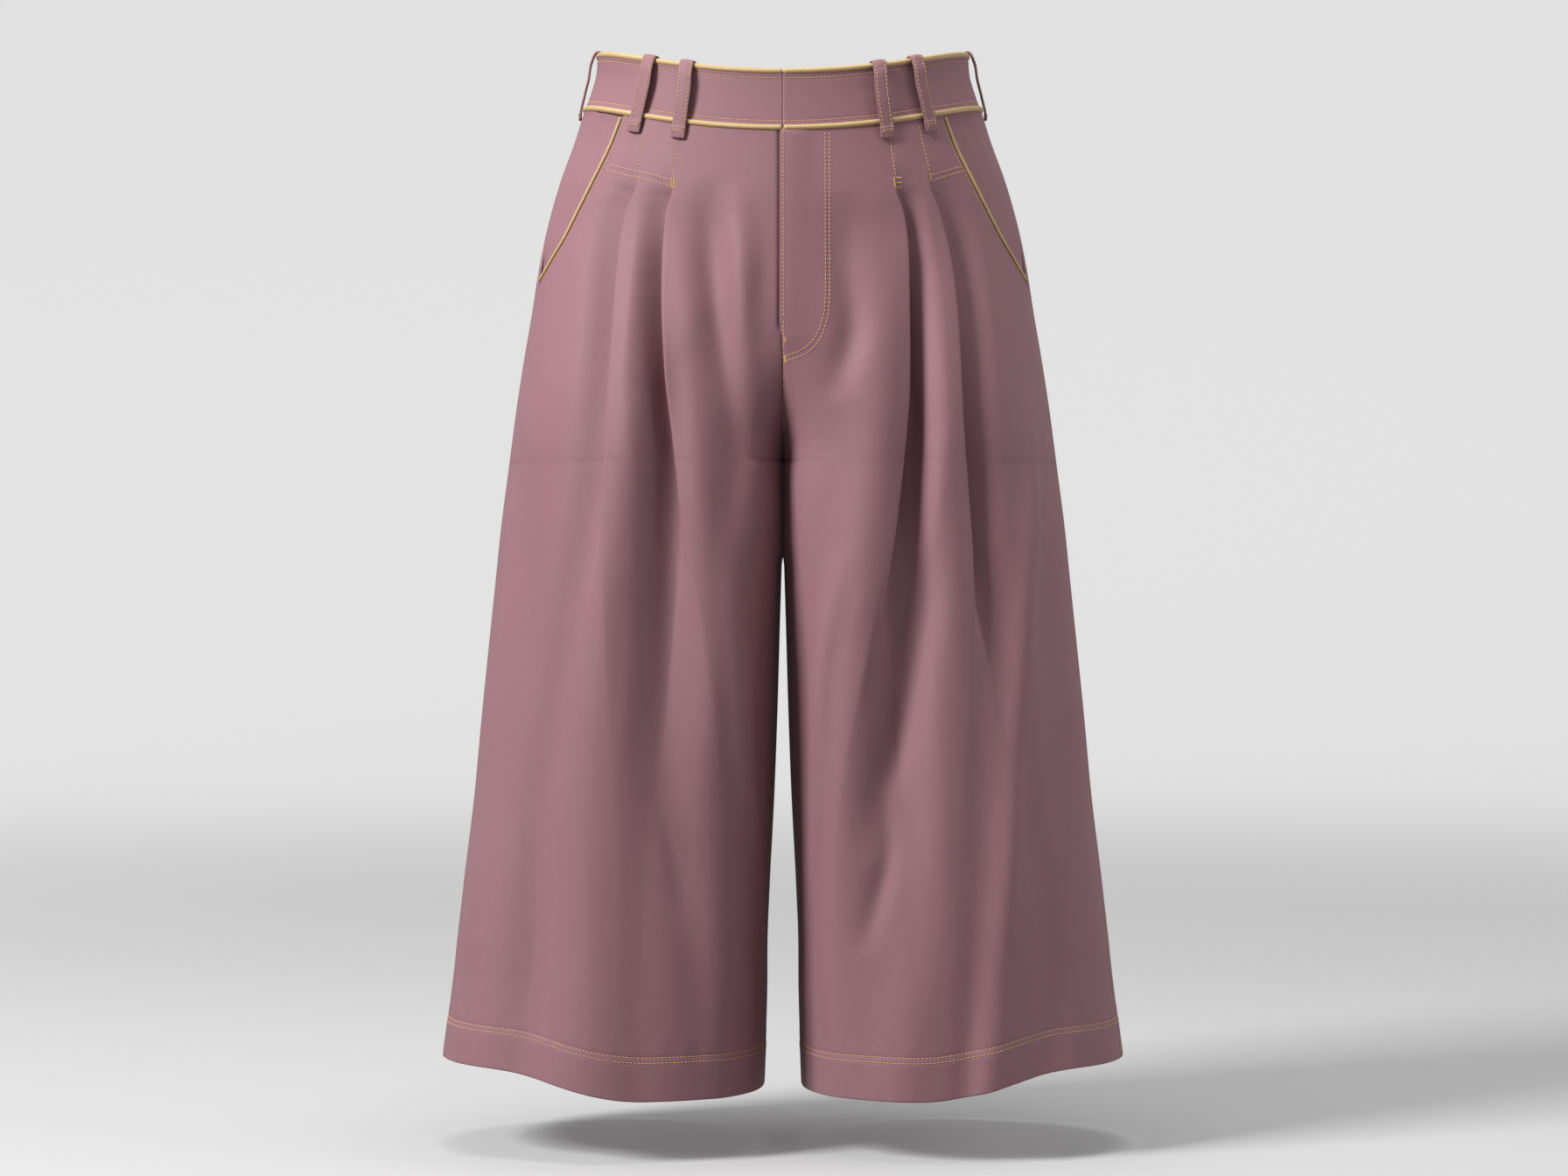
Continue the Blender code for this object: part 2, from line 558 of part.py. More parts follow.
LoopPoint = namedtuple("LoopPoint", "drop out")
LOOP_PATH = [  # the strap's inner face, from its sewn end inside the waistband to the one below it
    LoopPoint(12, -3.3), LoopPoint(5, -3.3), LoopPoint(0.7, -3.3), LoopPoint(-0.4, -1.6),
    LoopPoint(-0.4, 0.2), LoopPoint(0.7, 1.6), LoopPoint(4, 3.0), LoopPoint(11, 4.9),
    LoopPoint(25, 4.9), LoopPoint(40.5, 2.5), LoopPoint(47, 1.6), LoopPoint(52.5, 0.5),
]
LOOP_END_CLOTH = 2.2 * MM
SIDE_LOOP_END = 47


def make_loop(name, angle, lean, side, material, end=LOOP_PATH[-1].drop):
    """A belt loop: it passes over both pipings, and leans away from the centre as it goes down."""
    path = np.array(LOOP_PATH, float)
    path[-2:, 0] = (path[-3, 0] + end) / 2, end
    path = path * MM
    along_path = np.gradient(path, axis=0)
    along_path /= np.linalg.norm(along_path, axis=1, keepdims=True)
    strap = np.full((len(path), 1), LOOP_CLOTH)
    strap[-2:] = LOOP_END_CLOTH
    away = np.c_[-along_path[:, 1], along_path[:, 0]] * strap
    grids = []
    for face in (path + away, path):
        drop = face[:, :1] + np.zeros(2)
        centre = angle - lean * drop / WAIST_SEAM
        speed = ring_speed(centre, np.maximum(drop, 0))
        points = place(centre + np.array([-0.5, 0.5]) * LOOP_WIDTH / speed, face[:, 1:] + np.zeros(2), drop)
        grids.append(points)
    return wall(name, grids[0], grids[1], side, material)


def make_loops(material):
    for side in ("left", "right"):
        make_loop("loop_front_" + side + "_inner", math.radians(60.2), 0, side, material)
        make_loop("loop_front_" + side + "_outer", math.radians(46), 0.016, side, material)
        make_loop("loop_side_" + side, math.radians(1.5), 0, side, material, SIDE_LOOP_END)
    make_loop("loop_centre_back", -math.pi / 2, 0, "left", material)


def principled(name, colour, roughness, metallic=0.0):
    material = bpy.data.materials.new(name)
    material.use_nodes = True
    shader = material.node_tree.nodes["Principled BSDF"]
    shader.inputs["Base Color"].default_value = colour
    shader.inputs["Roughness"].default_value = roughness
    shader.inputs["Metallic"].default_value = metallic
    material.diffuse_color = colour
    return material


for old in list(bpy.data.objects):
    bpy.data.objects.remove(old)
collection = bpy.data.collections.new("culottes")
bpy.context.scene.collection.children.link(collection)

mauve_cloth = principled("mauve_cloth", MAUVE, 0.6)
gold_piping = principled("gold_piping", GOLD, 0.45)
make_panels(mauve_cloth)
make_waistband(mauve_cloth)
make_waist_piping(gold_piping)
make_pocket_piping(gold_piping)
make_loops(mauve_cloth)
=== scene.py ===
# %% [markdown]
# # Wide-leg culottes, filled out as worn
#
# These culottes hold the form of a wearer who isn't there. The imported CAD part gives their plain
# panels, and this lesson dresses them: it works out each piece of cloth again, finely enough for
# soft creases, rolled seams and rows of stitching, and finishes it with cloth, satin and thread.
#
# The front faces -Y, the wearer's left is +X, and all sizes are in metres. The origin is the
# centre of the waist opening.

# %% Tools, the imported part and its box
import json
import math
from collections import namedtuple

import bmesh
import bpy
import numpy as np
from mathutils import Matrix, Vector
from mathutils.bvhtree import BVHTree

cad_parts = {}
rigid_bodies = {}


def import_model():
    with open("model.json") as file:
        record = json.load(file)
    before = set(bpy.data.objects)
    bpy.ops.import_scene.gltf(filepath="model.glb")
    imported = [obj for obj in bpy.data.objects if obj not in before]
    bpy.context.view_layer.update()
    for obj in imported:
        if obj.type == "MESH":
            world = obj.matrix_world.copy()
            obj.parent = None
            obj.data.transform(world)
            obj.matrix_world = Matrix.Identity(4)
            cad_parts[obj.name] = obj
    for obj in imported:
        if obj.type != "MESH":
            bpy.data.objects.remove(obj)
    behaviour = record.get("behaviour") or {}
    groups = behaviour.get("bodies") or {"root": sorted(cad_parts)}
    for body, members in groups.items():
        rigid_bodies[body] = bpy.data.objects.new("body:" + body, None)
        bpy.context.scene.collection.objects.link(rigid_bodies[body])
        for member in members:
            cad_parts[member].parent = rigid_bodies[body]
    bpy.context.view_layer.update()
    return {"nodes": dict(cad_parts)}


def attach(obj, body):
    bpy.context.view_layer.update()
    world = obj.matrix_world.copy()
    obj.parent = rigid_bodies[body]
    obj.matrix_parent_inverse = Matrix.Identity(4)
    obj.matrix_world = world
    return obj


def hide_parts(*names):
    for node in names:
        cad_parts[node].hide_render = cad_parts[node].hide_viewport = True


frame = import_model()
MM = 0.001
print("the part's nodes:", ", ".join(sorted(frame["nodes"])))

# %% [markdown]
# ## The camera
#
# The camera comes first, so that every later step can be judged in the right view. The picture
# was taken from straight in front and level with the middle of the legs: both side seams lean
# alike and no surface is seen from above. A long lens from 2.6 m gives its mild perspective.

# %% Camera
CAMERA_PLACE = (0.0008, -2.6, -0.390)
LENS_MM = 81.6

lens = bpy.data.cameras.new("camera")
lens.lens = LENS_MM
lens.sensor_width = 36
lens.clip_end = 30
camera = bpy.data.objects.new("camera", lens)
camera.location = CAMERA_PLACE
camera.rotation_euler = (math.radians(90), 0, 0)
bpy.context.scene.collection.objects.link(camera)
bpy.context.scene.camera = camera
print("camera at", CAMERA_PLACE, "with a lens of", LENS_MM, "mm")

# %% [markdown]
# ## The garment's own coordinates
#
# A place on the cloth is given by its drop, the distance below the waistband's top edge at the
# side seams, and by an angle round the body or round one leg. The angle is 0 at the side, grows
# towards the front and is negative at the back. This is how a cutter thinks too: so far down, so
# far round. Below are the sizes of the rings of cloth, from the waist down to the hem.

# %% Driving sizes, as in the part's source
CLOTH = 1.2 * MM  # the solids' wall, whose middle surface this cloth follows
REAL_CLOTH = 0.7 * MM  # how thick the cloth itself is drawn
HEM_CLOTH = 1.5 * MM  # two layers where the hem is turned up
BAND_CLOTH = 2.4 * MM

WAIST_SEAM = 41 * MM
CROTCH = 300 * MM
HEM = 750 * MM
LEGS_START = 110 * MM
POCKET_END = 174 * MM

FRONT_WAIST_DIP = 24 * MM
WAIST_DIP_ENDS = 300 * MM
SIDE_HEM_RISE = 20.5 * MM
HEM_RISE_STARTS = 600 * MM

Section = namedtuple(
    "Section", "drop half_width front_depth back_depth inner_gap outer_squareness inner_squareness"
)
SECTIONS = [
    Section(0, 135.3, 99, 96, 0, 2, 2.6),
    Section(19, 136.4, 100, 98, 0, 2, 2.6),
    Section(30, 140.0, 101.5, 100.5, 0, 2, 2.6),
    Section(41, 144.5, 103.5, 103.5, 0, 2, 2.6),
    Section(63, 151.5, 106.5, 109.5, 0, 2, 2.6),
    Section(95, 163, 110, 118, 0, 2, 2.8),
    Section(127, 172, 112.5, 125, 0, 2, 3),
    Section(159, 178.5, 114.5, 129.5, 0, 2, 3.3),
    Section(191, 183.5, 116, 131, 0, 1.98, 3.6),
    Section(223, 189, 117, 130, 0, 1.92, 4),
    Section(255, 194, 118, 127, 0.1, 1.86, 4.3),
    Section(300, 200, 118.5, 122, 0.3, 1.82, 4.4),
    Section(351, 206.5, 118.5, 119, 0.35, 1.85, 4.1),
    Section(375, 208.9, 118.3, 118.3, 0.9, 1.88, 3.9),
    Section(415, 213, 117.5, 117, 2.1, 1.93, 3.6),
    Section(479, 219.5, 116.5, 115.5, 3.9, 1.99, 3.3),
    Section(543, 225.5, 115, 114.5, 6.3, 2, 3.05),
    Section(607, 233.3, 113.5, 113.5, 9.6, 2, 2.85),
    Section(644, 237.1, 112.7, 113, 11.1, 2, 2.75),
    Section(685, 240.6, 111.8, 112.5, 11.4, 2, 2.65),
    Section(724, 244.8, 110.8, 112, 12.6, 2, 2.6),
    Section(750, 248, 110, 112, 13.6, 2, 2.6),
]
BACK_SQUARENESS = 2.6

SeamPoint = namedtuple("SeamPoint", "drop angle")
SIDE_SEAM = [SeamPoint(0, 5), SeamPoint(174, 8), SeamPoint(300, 10), SeamPoint(750, 14)]
POCKET_MOUTH = [
    SeamPoint(41, 38.6), SeamPoint(76, 35.6), SeamPoint(112, 30.8), SeamPoint(146, 23.9),
    SeamPoint(162, 17.2), SeamPoint(174, 8),
]
print("rings of cloth:", len(SECTIONS), "from the waist to the hem at", HEM / MM, "mm")

# %% [markdown]
# The tables are read as smooth curves. From them come the outline of a ring, the angle at which
# it reaches a given x, and the height of a place, because the waist dips at the front and the
# hem rises towards the sides. `place` then turns an angle, a relief outwards and a drop into a
# point. All of it works on whole arrays at once.


# %% From a place on the cloth to a point
def smoothstep(t):
    """3 t^2 - 2 t^3, held at 0 below 0 and at 1 above 1."""
    t = np.clip(t, 0, 1)
    return t * t * (3 - 2 * t)


def faded(drop, start, end):
    """1 above start, falling smoothly to 0 at end."""
    return 1 - smoothstep((drop - start) / (end - start))


def along(table, column, drop):
    """One column of a table at any drop: a smooth curve through the table's rows, in metres."""
    drops = np.array([row.drop for row in table], float) * MM
    values = np.array([getattr(row, column) for row in table], float) * MM
    slopes = np.gradient(values, drops)
    drop = np.clip(drop, drops[0], drops[-1])
    i = np.clip(np.searchsorted(drops, drop) - 1, 0, len(drops) - 2)
    step = drops[i + 1] - drops[i]
    t = (drop - drops[i]) / step
    return (
        values[i] * (1 + 2 * t) * (1 - t) ** 2
        + slopes[i] * step * t * (1 - t) ** 2
        + values[i + 1] * t * t * (3 - 2 * t)
        - slopes[i + 1] * step * t * t * (1 - t)
    )


def angle_along(table, drop):
    """The angle column of a seam's table at any drop, in radians."""
    return np.radians(along(table, "angle", drop) / MM)


def squareness(angle, drop):
    """The exponent of a ring's superellipse: outer half, inner half in front, inner half behind."""
    outer, inner = (along(SECTIONS, half + "_squareness", drop) / MM for half in ("outer", "inner"))
    return np.where(np.cos(angle) < -1e-9, np.where(angle > 0, inner, BACK_SQUARENESS), outer)


def ring(drop, front):
    """Centre, half width, depth and end angle of the front or back half of a ring.

    A ring ends at the centre line above the crotch, a quarter turn from the side, and at the
    inseam below it, a half turn from the side. parted says how far the body has become two legs.
    """
    half_width = along(SECTIONS, "half_width", drop)
    gap = along(SECTIONS, "inner_gap", drop)
    depth = np.where(front, along(SECTIONS, "front_depth", drop), along(SECTIONS, "back_depth", drop))
    parted = smoothstep((drop - LEGS_START) / (CROTCH - LEGS_START))
    half = (half_width - gap) / (1 + parted)
    power = squareness(np.where(front, np.pi, -np.pi), drop)
    end = np.arctan2((1 - parted**power) ** (1 / power), -parted)
    return half_width - half, half, depth, end


def outline(angle, drop, front):
    """The ring's own curve, as x and the distance in front of the widest point.

    It is an ellipse whose corners are fuller.
    """
    centre, half, depth, _ = ring(drop, front)
    power = squareness(angle, drop)
    swell = (np.abs(np.cos(angle)) ** power + np.abs(np.sin(angle)) ** power) ** (-1 / power)
    return centre + half * np.cos(angle) * swell, depth * np.sin(angle) * swell


def outline_slope(angle, drop, front):
    """How fast the ring's curve runs along x and forwards, for each radian."""
    step = 1e-5
    after, before = outline(angle + step, drop, front), outline(angle - step, drop, front)
    return (after[0] - before[0]) / (2 * step), (after[1] - before[1]) / (2 * step)


def ring_speed(angle, drop):
    """Metres of cloth for each radian round a ring."""
    return np.hypot(*outline_slope(angle, drop, angle > 0))


def angle_at(x, drop, front=True):
    """The angle at which a ring reaches x, as seen from the front, found by halving."""
    low, high = np.full(np.shape(x), 0.02), np.full(np.shape(x), np.pi - 0.02)
    sign = np.where(front, 1, -1)
    for _ in range(40):
        middle = (low + high) / 2
        beyond = outline(sign * middle, drop, front)[0] > x
        low, high = np.where(beyond, middle, low), np.where(beyond, high, middle)
    return low


def height(angle, drop):
    """The height of a place: the waist dips at the front, and the hem rises at the side."""
    deeper = 1 + 0.06 * np.clip(drop / WAIST_SEAM, 0, 1)
    in_front = np.where(angle > 0, np.sin(angle) ** 2, 0)
    dip = FRONT_WAIST_DIP * deeper * in_front * faded(drop, WAIST_SEAM, WAIST_DIP_ENDS)
    side = smoothstep((np.cos(angle) + 0.3) / 1.05)
    rise = SIDE_HEM_RISE * side * smoothstep((drop - HEM_RISE_STARTS) / (HEM - HEM_RISE_STARTS))
    return -drop - dip + rise


def place(angle, out, drop):
    """The point at an angle and a drop, moved outwards by out, for the wearer's left side."""
    front = angle > 0
    x, forward = outline(angle, drop, front)
    dx, dforward = outline_slope(angle, drop, front)
    speed = np.hypot(dx, dforward)
    x, forward = x + out * dforward / speed, forward - out * dx / speed
    return np.stack([x, -forward, height(angle, drop) + 0 * x], -1)


hem_ring = place(np.linspace(-np.pi, np.pi, 200), 0, np.full(200, HEM))
HEM_ROUND = np.linalg.norm(np.diff(hem_ring, axis=0), axis=1).sum()
print("one leg measures", round(HEM_ROUND / MM), "mm round its hem, without its folds")

# %% [markdown]
# ## A thin shell
#
# Real cloth has two faces and an edge. Each piece below is two grids of points, its outer and its
# inner face, joined all round by a rim. A flat rim would look like cut card, so this one is a half
# circle, as a folded or overlocked edge is. The grid also carries a UV map in metres of cloth,
# which the weave will follow.

# %% From two grids to a closed piece
RIM_TURNS = np.radians([45, 90, 135])


def mirrored(points, side):
    """The same points on the wearer's right: x changes its sign."""
    return points if side == "left" else points * np.array([-1.0, 1.0, 1.0])


def new_piece(name, points, faces, uv=None):
    """An object made of points and faces, with a UV value for each point where one is given."""
    mesh = bpy.data.meshes.new(name)
    mesh.from_pydata(points, [], faces)
    if uv is not None:
        corner = np.empty(len(mesh.loops), np.int32)
        mesh.loops.foreach_get("vertex_index", corner)
        mesh.uv_layers.new(name="cloth").data.foreach_set("uv", uv[corner].astype(np.float32).ravel())
    mesh.shade_smooth()
    piece = bpy.data.objects.new(name, mesh)
    bpy.context.scene.collection.objects.link(piece)
    return piece


def grid_faces(rows, columns, first=0):
    """The quads between neighbouring rows and columns of a grid's points."""
    index = first + np.arange(rows * columns).reshape(rows, columns)
    return np.stack([index[:-1, :-1], index[:-1, 1:], index[1:, 1:], index[1:, :-1]], -1).reshape(-1, 4)


def cloth_uv(points):
    """Metres across the piece from its middle column, and metres down from its first row."""
    across = np.linalg.norm(np.diff(points, axis=1), axis=2).cumsum(axis=1)
    across = np.concatenate([np.zeros((len(points), 1)), across], axis=1)
    down = np.linalg.norm(np.diff(points, axis=0), axis=2).mean(axis=1).cumsum()
    across -= across[:, points.shape[1] // 2][:, None]
    return np.stack([across, np.r_[0, down][:, None] + 0 * across], -1).reshape(-1, 2)


def shell(name, outer, inner, side="left"):
    """A closed piece between two grids, with a rim that follows the grid's edge all round.

    A rim point is middle + half * cos(turn) + edgewise * sin(turn).
    """
    outer, inner = mirrored(outer, side), mirrored(inner, side)
    rows, columns = outer.shape[:2]
    down, back_up = np.arange(1, rows), np.arange(rows - 2, 0, -1)
    right, back_left = np.arange(columns), np.arange(columns - 2, -1, -1)
    r = np.r_[0 * right, down, 0 * back_left + rows - 1, back_up]
    c = np.r_[right, 0 * down + columns - 1, back_left, 0 * back_up]
    edge, inside = outer[r, c], outer[r.clip(1, rows - 2), c.clip(1, columns - 2)]
    middle, half = (edge + inner[r, c]) / 2, (edge - inner[r, c]) / 2
    radius = np.linalg.norm(half, axis=1, keepdims=True)
    edgewise = (edge - inside) / np.linalg.norm(edge - inside, axis=1, keepdims=True) * radius
    rim = [middle + half * np.cos(turn) + edgewise * np.sin(turn) for turn in RIM_TURNS]
    points = np.concatenate([outer.reshape(-1, 3), inner.reshape(-1, 3), *rim])

    total = rows * columns
    around = r * columns + c
    bands = [around, *(2 * total + len(r) * k + np.arange(len(r)) for k in range(len(rim))), around + total]
    strips = [np.stack([a, b, np.roll(b, -1), np.roll(a, -1)], -1) for a, b in zip(bands, bands[1:])]
    faces = np.concatenate([grid_faces(rows, columns), grid_faces(rows, columns, total)[:, ::-1], *strips])
    uv = cloth_uv(outer)
    uv = np.concatenate([uv, uv] + [uv[around]] * len(rim))
    return new_piece(name, points, faces if side == "left" else faces[:, ::-1], uv)


def grid_normals(points):
    """Outward unit normals of a grid, from its neighbouring points along and down it."""
    down, across = np.gradient(points, axis=(0, 1))
    n = np.cross(across, down)
    return n / np.linalg.norm(n, axis=-1, keepdims=True)


def dress(piece, *nodes, finish, slot):
    """The piece takes its finish, stands for its plain CAD nodes and moves with the garment."""
    piece.data.materials.append(finish)
    if nodes:
        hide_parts(*nodes)
    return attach(piece, "root")


print("a shell's rim turns in", len(RIM_TURNS) + 1, "steps")

# %% [markdown]
# ## Pleats and folds
#
# Each front leg is laid in two knife pleats. They are sewn down for a few centimetres below the
# waistband, then the cloth springs open and runs down in soft rolls. A pleat is a fold line with
# three sizes that change as it goes down: how far the top layer laps over, how deep the fold is,
# and the radius of its bends. The soft rolls are bell-shaped ridges and troughs along lines of
# their own. The main ones are in the solids too; the finer creases come later.

# %% Tables of pleats and soft folds
PleatPoint = namedtuple("PleatPoint", "drop inner_x outer_x lap depth bend")
PLEATS = {
    "left": [
        PleatPoint(41, 78.0, 101.5, -0.8, 0.5, 0.8),
        PleatPoint(84, 79.3, 103.2, -0.8, 0.7, 0.8),
        PleatPoint(91, 79.8, 104.0, -0.8, 1.9, 0.8),
        PleatPoint(97, 80.6, 105.2, -0.4, 3.9, 0.8),
        PleatPoint(106, 81.8, 107.0, 1.8, 5.6, 0.85),
        PleatPoint(120, 83.0, 109.5, 3.2, 7.4, 0.9),
        PleatPoint(149, 84.2, 115.0, 4.0, 10.2, 0.9),
        PleatPoint(182, 85.0, 118.5, 4.0, 12.7, 0.9),
        PleatPoint(217, 85.2, 120.5, 3.8, 14.6, 0.9),
        PleatPoint(251, 84.0, 121.9, 3.4, 16.1, 1.0),
        PleatPoint(284, 81.9, 123.8, 2.9, 16.4, 1.1),
        PleatPoint(321, 78.5, 127.3, 2.0, 15.9, 1.5),
        PleatPoint(358, 74.6, 131.4, 0.2, 13.9, 2.4),
        PleatPoint(408, 69.3, 137.4, -5.0, 11.0, 4.5),
        PleatPoint(470, 65.6, 142.9, -13.0, 8.4, 7.5),
        PleatPoint(540, 62.6, 147.9, -22.0, 6.6, 10.0),
        PleatPoint(750, 66.0, 160.0, -34.0, 0.8, 12.0),
    ],
    "right": [
        PleatPoint(41, 76.5, 101.5, -0.8, 0.5, 0.8),
        PleatPoint(84, 77.3, 103.2, -0.8, 0.7, 0.8),
        PleatPoint(91, 77.8, 104.0, -0.8, 1.9, 0.8),
        PleatPoint(97, 78.3, 105.2, -0.4, 3.9, 0.8),
        PleatPoint(106, 79.2, 107.0, 1.8, 5.4, 0.85),
        PleatPoint(120, 79.4, 109.4, 3.2, 7.2, 0.9),
        PleatPoint(149, 80.0, 112.0, 4.0, 12.6, 0.9),
        PleatPoint(182, 80.2, 114.0, 4.0, 15.6, 0.9),
        PleatPoint(217, 79.0, 116.0, 3.6, 15.8, 1.0),
        PleatPoint(251, 76.8, 118.1, 2.8, 15.1, 1.2),
        PleatPoint(284, 73.9, 120.6, 1.4, 13.7, 1.6),
        PleatPoint(321, 71.5, 123.6, -0.8, 11.7, 2.2),
        PleatPoint(358, 69.3, 127.2, -4.0, 10.1, 3.4),
        PleatPoint(408, 66.9, 132.5, -10.0, 8.0, 5.8),
        PleatPoint(470, 65.4, 137.9, -17.0, 7.4, 8.6),
        PleatPoint(540, 64.4, 143.0, -25.0, 4.4, 11.0),
        PleatPoint(750, 66.0, 156.0, -34.0, 0.8, 12.0),
    ],
}
OUTER_PLEAT_DEPTH = 0.8
FOLD_MARGIN = 2 * MM
PLEAT_RUN = 32 * MM

Fold = namedtuple("Fold", "width points")
FoldPoint = namedtuple("FoldPoint", "drop x height")


def fold(width, *points):
    """A ridge, or a trough where height is below 0: points of drop, x seen from the front, height."""
    return Fold(width, [FoldPoint(*p) for p in points])


FRONT_FOLDS = {
    "left": [
        fold(11.4, (90, 42, 0), (150, 44.6, -4.5), (205, 48.6, -6.2), (260, 36, 0)),
        fold(18.9, (90, 57, 0), (150, 58.4, 0.4), (272, 64.4, 5.5), (346, 59.9, 8.6), (445, 51, 8.1),
             (543, 43.8, 6.7), (642, 36.7, 4.1), (750, 38, 1.4)),
        fold(13.5, (140, 92, 0), (217, 93.1, -5.8), (321, 92.1, -6.5), (395, 98.9, -8.9),
             (445, 92.1, -6.6), (494, 80.9, -5.7), (543, 67.5, -3.7), (585, 60, 0)),
        fold(8.4, (535, 71, 0), (575, 72.9, -3.2), (615, 63.9, -3.0), (650, 56, 0)),
        fold(21.9, (110, 104, 0), (241, 106.6, 0.7), (346, 107.7, 0.4), (445, 109.2, -0.2),
             (543, 106.4, 3.4), (593, 101.6, 5.4), (654, 99.4, 6), (750, 85.4, 3.8)),
        fold(12, (180, 127, 0), (241, 127.7, -0.2), (346, 132.7, -1.5), (445, 136.3, -3.1),
             (593, 137, -1.2), (750, 130, -3.4)),
        fold(12.3, (240, 176, 0), (346, 175, 6.3), (445, 169, 5.1), (593, 159.6, 5.5),
             (673, 151.1, 3.2), (750, 142.5, 4.1)),
        fold(24.4, (250, 190, 0), (346, 190.6, -1.7), (445, 192.9, -5.9), (543, 195.8, -7.1),
             (654, 195.8, -5.3), (750, 187, -5.6)),
        fold(8, (360, 42, 0), (432, 30.2, 5.4), (537, 25.8, 4.1), (620, 19.7, 0.8), (720, 17, 0)),
    ],
    "right": [
        fold(12.1, (80, 51, 0), (150, 51, -8), (220, 42, -5.8), (290, 32, -4.6), (345, 36, -2), (400, 36, 0)),
        fold(8.6, (80, 33, 0), (140, 29.3, 5.5), (220, 27.5, 3.5), (290, 22, 0)),
        fold(11.4, (120, 68, 0), (217, 66.9, 2.7), (346, 57, 3.7), (445, 48.9, 4), (543, 51.3, 0.7),
             (593, 52.2, 0.8), (650, 45.7, 2.2), (750, 45, 1.5)),
        fold(18, (140, 88, 0), (251, 77.8, -4.9), (346, 85.7, -3.3), (407, 82.4, -3.6),
             (470, 79.6, -3.9), (543, 75.9, -5.7), (593, 67.5, -6.2), (642, 61.7, -3.3),
             (750, 54.1, -0.8)),
        fold(23.1, (110, 105, 0), (241, 103.9, 5), (309, 112.8, 7.1), (370, 120.8, 6.5),
             (457, 134, 4.6), (531, 138, 3), (654, 136, 2.5), (750, 130, 3.8)),
        fold(10, (240, 178, 0), (321, 172, -0.2), (420, 164.1, -0.2), (494, 157, 0)),
        fold(25, (260, 190, 0), (445, 181, -6.6), (543, 178, -9), (654, 177, -9.6), (750, 185, -5.6)),
        fold(8.5, (340, 40, 0), (420, 34.4, 4.8), (500, 28.6, 4.8), (600, 18.1, 1.9), (720, 15, 0)),
    ],
}
BACK_FOLDS = [
    fold(24, (200, 60, 0), (300, 62, -2.0), (420, 60, -4.6), (560, 58, -5.0), (750, 54, -3.0)),
    fold(24, (220, 104, 0), (340, 106, 2.5), (480, 108, 5.0), (620, 110, 5.2), (750, 112, 3.4)),
    fold(20, (250, 150, 0), (380, 156, -2.5), (520, 162, -4.6), (640, 166, -4.6), (750, 170, -3.0)),
    fold(14, (300, 24, 0), (400, 28, 2.6), (560, 26, 3.0), (750, 28, 1.5)),
    fold(16, (90, 62, 0), (110, 62, -1.2), (150, 60, 0)),
]
print("main folds:", sum(map(len, FRONT_FOLDS.values())), "in front and", 2 * len(BACK_FOLDS), "behind")

# %% [markdown]
# Finer creases run where cloth bends as it hangs: off the pleats, down from the hips and above the
# knees. They are too small for the solids, so they belong to the finished cloth alone. No two are
# alike, because the two halves of a worn garment never crease the same way.

# %% Fine creases
FRONT_CREASES = {
    "left": [fold(5, (380, 60, 0), (400, 57, 0.6), (425, 55, 0))],
    "right": [fold(5, (520, 93, 0), (575, 77, -0.9), (620, 66, 0))],
}
BACK_CREASES = {
    "left": [fold(9, (230, 30, 0), (300, 52, 1.1), (360, 80, 0))],
    "right": [fold(10, (240, 34, 0), (310, 50, -1.0), (380, 88, 0))],
}
print("fine creases:", sum(map(len, [*FRONT_CREASES.values(), *BACK_CREASES.values()])))

# %% [markdown]
# A fold's height is a bell curve of the distance from its line, faded out where the cloth is sewn
# to its neighbour. The pleat's fold is two round bends joined by a straight middle layer, worked
# out as one curve from the lower layer to the top one, so the same formula serves while the pleat
# is folded over and after it has opened.


# %% The shapes of folds and pleats
SIDE_FADE, CENTRE_FADE = 0.014, 0.016  # how far from its seams a soft fold reaches its full height


def soft_folds(folds, angle, drop, front, start, end):
    """The sum of the folds' heights: each is a bell curve across the leg, faded out at the seams."""
    total = np.zeros(np.broadcast(angle, drop).shape)
    _, half, depth, _ = ring(drop, front)
    size = np.sqrt(half * depth)
    for one in folds:
        centre = angle_at(along(one.points, "x", drop), drop, front)
        away = (np.abs(angle) - centre) * size / (one.width * MM)
        inside = (drop >= one.points[0].drop * MM) & (drop <= one.points[-1].drop * MM + 1e-5)
        total = total + np.where(inside, along(one.points, "height", drop), 0) * np.exp(-away * away)
    sewn = smoothstep((angle - start) * size / SIDE_FADE) * smoothstep((end - angle) * size / CENTRE_FADE)
    return total * sewn


